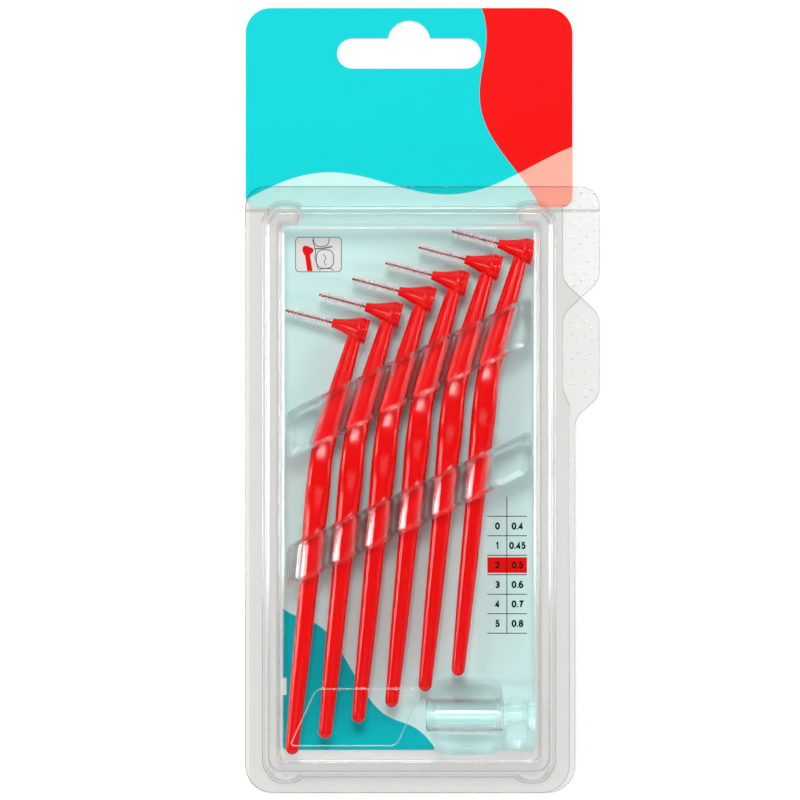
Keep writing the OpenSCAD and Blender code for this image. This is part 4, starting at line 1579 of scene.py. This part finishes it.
@dataclass
class Studio:
    """Floor, world, lamps and camera around the pack.

    Args:
        camera: Camera's row X, Y and Z.
        lens: Focal length.
        sensor: Width of the sensor.
        clip: Nearest and farthest distance that it shows, in metres.
        floor_level: Height of the floor.
        floor_colour: Colour of the floor.
        floor_roughness: Its least and greatest roughness.
        floor_scale: Patches of it in a metre.
        high_level: Strength of the plain light from overhead.
        low_level: Strength of the plain light from the sides.
        backdrop: Rises from which and up to which the white backdrop fades for glossy pieces, as sines.
        floor_glow: White that the board shows besides the light on it.
        low_glow: White that the lower floor shows besides the light on it.
        board_edge: Row X of the board's left edge, past which the front half swings down.
        board_height: Height of the board over the lower floor.
        edge_thickness: Thickness of the white facing on the board's edge.
        reach: How far the ground runs.
        target: Height of the middle of the pack, which the lamps face.
        lamps: The lamps.
    """

    camera: Place = (-5.0, 0.13, 1235.0)
    lens: float = 250.0
    sensor: float = 36.0
    clip: Point = (0.05, 20.0)
    floor_level: float = -0.15
    floor_colour: Colour = (0.5, 0.5, 0.5)
    floor_roughness: Point = (0.58, 0.62)
    floor_scale: float = 6.0
    high_level: float = 0.06
    low_level: float = 0.6
    backdrop: Point = (0.35, 0.6)
    floor_glow: float = 0.56
    low_glow: float = 0.7
    board_edge: float = -38.6
    board_height: float = 14.0
    edge_thickness: float = 0.04
    reach: float = 4000.0
    target: float = 7.0
    lamps: tuple[Lamp, ...] = (
        Lamp("crest_lamp", (-20.0, 430.0, 1235.0), (280.0, 330.0), 6.5),
        Lamp("grip_lamp", (-20.0, -290.0, 1235.0), (300.0, 120.0), 0.28),
        Lamp("head_strip", (0.0, 900.0, 700.0), (900.0, 120.0), 0.7),
        Lamp("foot_strip", (0.0, -900.0, 700.0), (900.0, 120.0), 1.15),
        Lamp("left_strip", (-900.0, 0.0, 700.0), (160.0, 900.0), 5.1),
        Lamp("right_strip", (900.0, 0.0, 700.0), (160.0, 900.0), 4.3))

    def build_floor(self) -> None:
        """Builds the white board under the pack, its edge and the lower floor beside its hinge."""
        edge, far, skin = self.board_edge, self.reach, self.edge_thickness
        top, deep = self.floor_level, self.floor_level - 2 * self.board_height
        low = self.floor_level - self.board_height
        for name, left, right, level, glow in (
                ("white_board", edge, far, top, self.floor_glow),
                ("white_board_edge", edge - skin, edge, top - skin, 1.0),
                ("white_floor", -far, edge - skin, low, self.low_glow)):
            shape = Shape()
            shape.prism([Vector((x, y, deep)) * MM for x, y in
                         ((left, -far), (right, -far), (right, far), (left, far))], level - deep)
            shape.build(name, self.floor_material(name, glow))

    def floor_material(self, name: str, glow: float) -> Material:
        """Builds a plain white ground that keeps the pack's shadow.

        Args:
            name: Name of the material.
            glow: White that it shows besides the light on it.

        Returns:
            The material.
        """
        g = Graph.of_material(name)
        grain = g.spread(g.noise(self.floor_scale), *self.floor_roughness)
        plain = g.add("ShaderNodeBsdfDiffuse", {"Color": self.floor_colour, "Roughness": grain})
        rays = g.add("ShaderNodeLightPath").outputs
        seen = g.calc("MINIMUM", g.calc("ADD", rays["Is Camera Ray"], g.calc(
            "ADD", rays["Is Glossy Ray"], rays["Is Transmission Ray"])), 1.0)
        light = g.add("ShaderNodeEmission", {"Color": WHITE, "Strength": g.scaled(seen, glow)})
        return g.finish(g.add("ShaderNodeAddShader", {0: plain.outputs[0], 1: light.outputs[0]}))

    def build_world(self) -> None:
        """Sets the plain light and a white background."""
        world = bpy.data.worlds.new("plain_world")
        bpy.context.scene.world = world
        g = Graph(world, "ShaderNodeOutputWorld")
        rise = g.parts(g.add("ShaderNodeTexCoord").outputs["Generated"])[2]
        level = g.spread(rise, self.low_level, self.high_level)
        plain, white = (g.add("ShaderNodeBackground", {"Color": WHITE, "Strength": s}) for s in (level, 1.0))
        backdrop = g.add("ShaderNodeMapRange", {
            0: rise, 1: self.backdrop[0], 2: self.backdrop[1], 3: 1.0, 4: 0.0})
        rays = g.add("ShaderNodeLightPath").outputs
        glossy = g.scaled(rays["Is Glossy Ray"], backdrop.outputs[0])
        indirect = g.calc("MAXIMUM", rays["Is Transmission Ray"], glossy)
        seen = g.calc("MAXIMUM", rays["Is Camera Ray"], indirect)
        g.finish(g.layer(seen, plain, white))

    def build_camera(self) -> None:
        """Sets the camera over the pack."""
        data = bpy.data.cameras.new("camera")
        data.lens, data.sensor_width = self.lens, self.sensor
        data.clip_start, data.clip_end = self.clip
        thing = bpy.data.objects.new("camera", data)
        thing.location = Vector(self.camera) * MM
        bpy.context.scene.collection.objects.link(thing)
        bpy.context.scene.camera = thing

    def build(self) -> None:
        """Builds the whole studio."""
        self.build_floor()
        self.build_world()
        for lamp in self.lamps:
            lamp.hang(Vector((0.0, 0.0, self.target * MM)))
        self.build_camera()
        bpy.context.scene.view_settings.view_transform = "Standard"


@dataclass
class Pack:
    """The whole pack.

    Args:
        shells: The two halves of the clamshell.
        dots: Dots on the front half's tab and on the rear half's tab.
    """

    shells: tuple[FormedShell, FormedShell] = field(default_factory=lambda: (
        FormedShell("rear_shell", Body.REAR, -0.006), FormedShell("front_shell", Body.FRONT)))
    dots: tuple[GripDots, GripDots] = field(default_factory=lambda: (
        GripDots("front_tab_dots", Body.FRONT, "front_shell", 36.7, 112.6, 0.8, 8, 1.47),
        GripDots("rear_tab_dots", Body.REAR, "rear_shell", 36.4, 88.2, 0.4, 7, 1.4)))

    def build(self) -> None:
        """Builds and dresses every piece."""
        finishes = Finishes.build()
        for shell, sheet in zip(self.shells, (finishes.rear_sheet, finishes.front_sheet)):
            shell.build(sheet)
        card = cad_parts["hang_card"]
        card.data.materials.clear()
        card.data.materials.append(finishes.card)
        LOG.info("hang_card: dressed")
        for dots in self.dots:
            dots.build(finishes.dots)
        SizeTable().build(finishes)
        Pictogram().build(finishes)
        Cap().build(finishes.cap)
        BrushRow().build(finishes)


def main() -> None:
    """Builds the pack and the studio."""
    logging.basicConfig(level=logging.INFO, format="%(name)s %(message)s")
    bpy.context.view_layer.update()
    Pack().build()
    Studio().build()
    bpy.context.view_layer.update()


if __name__ == "__main__":
    main()
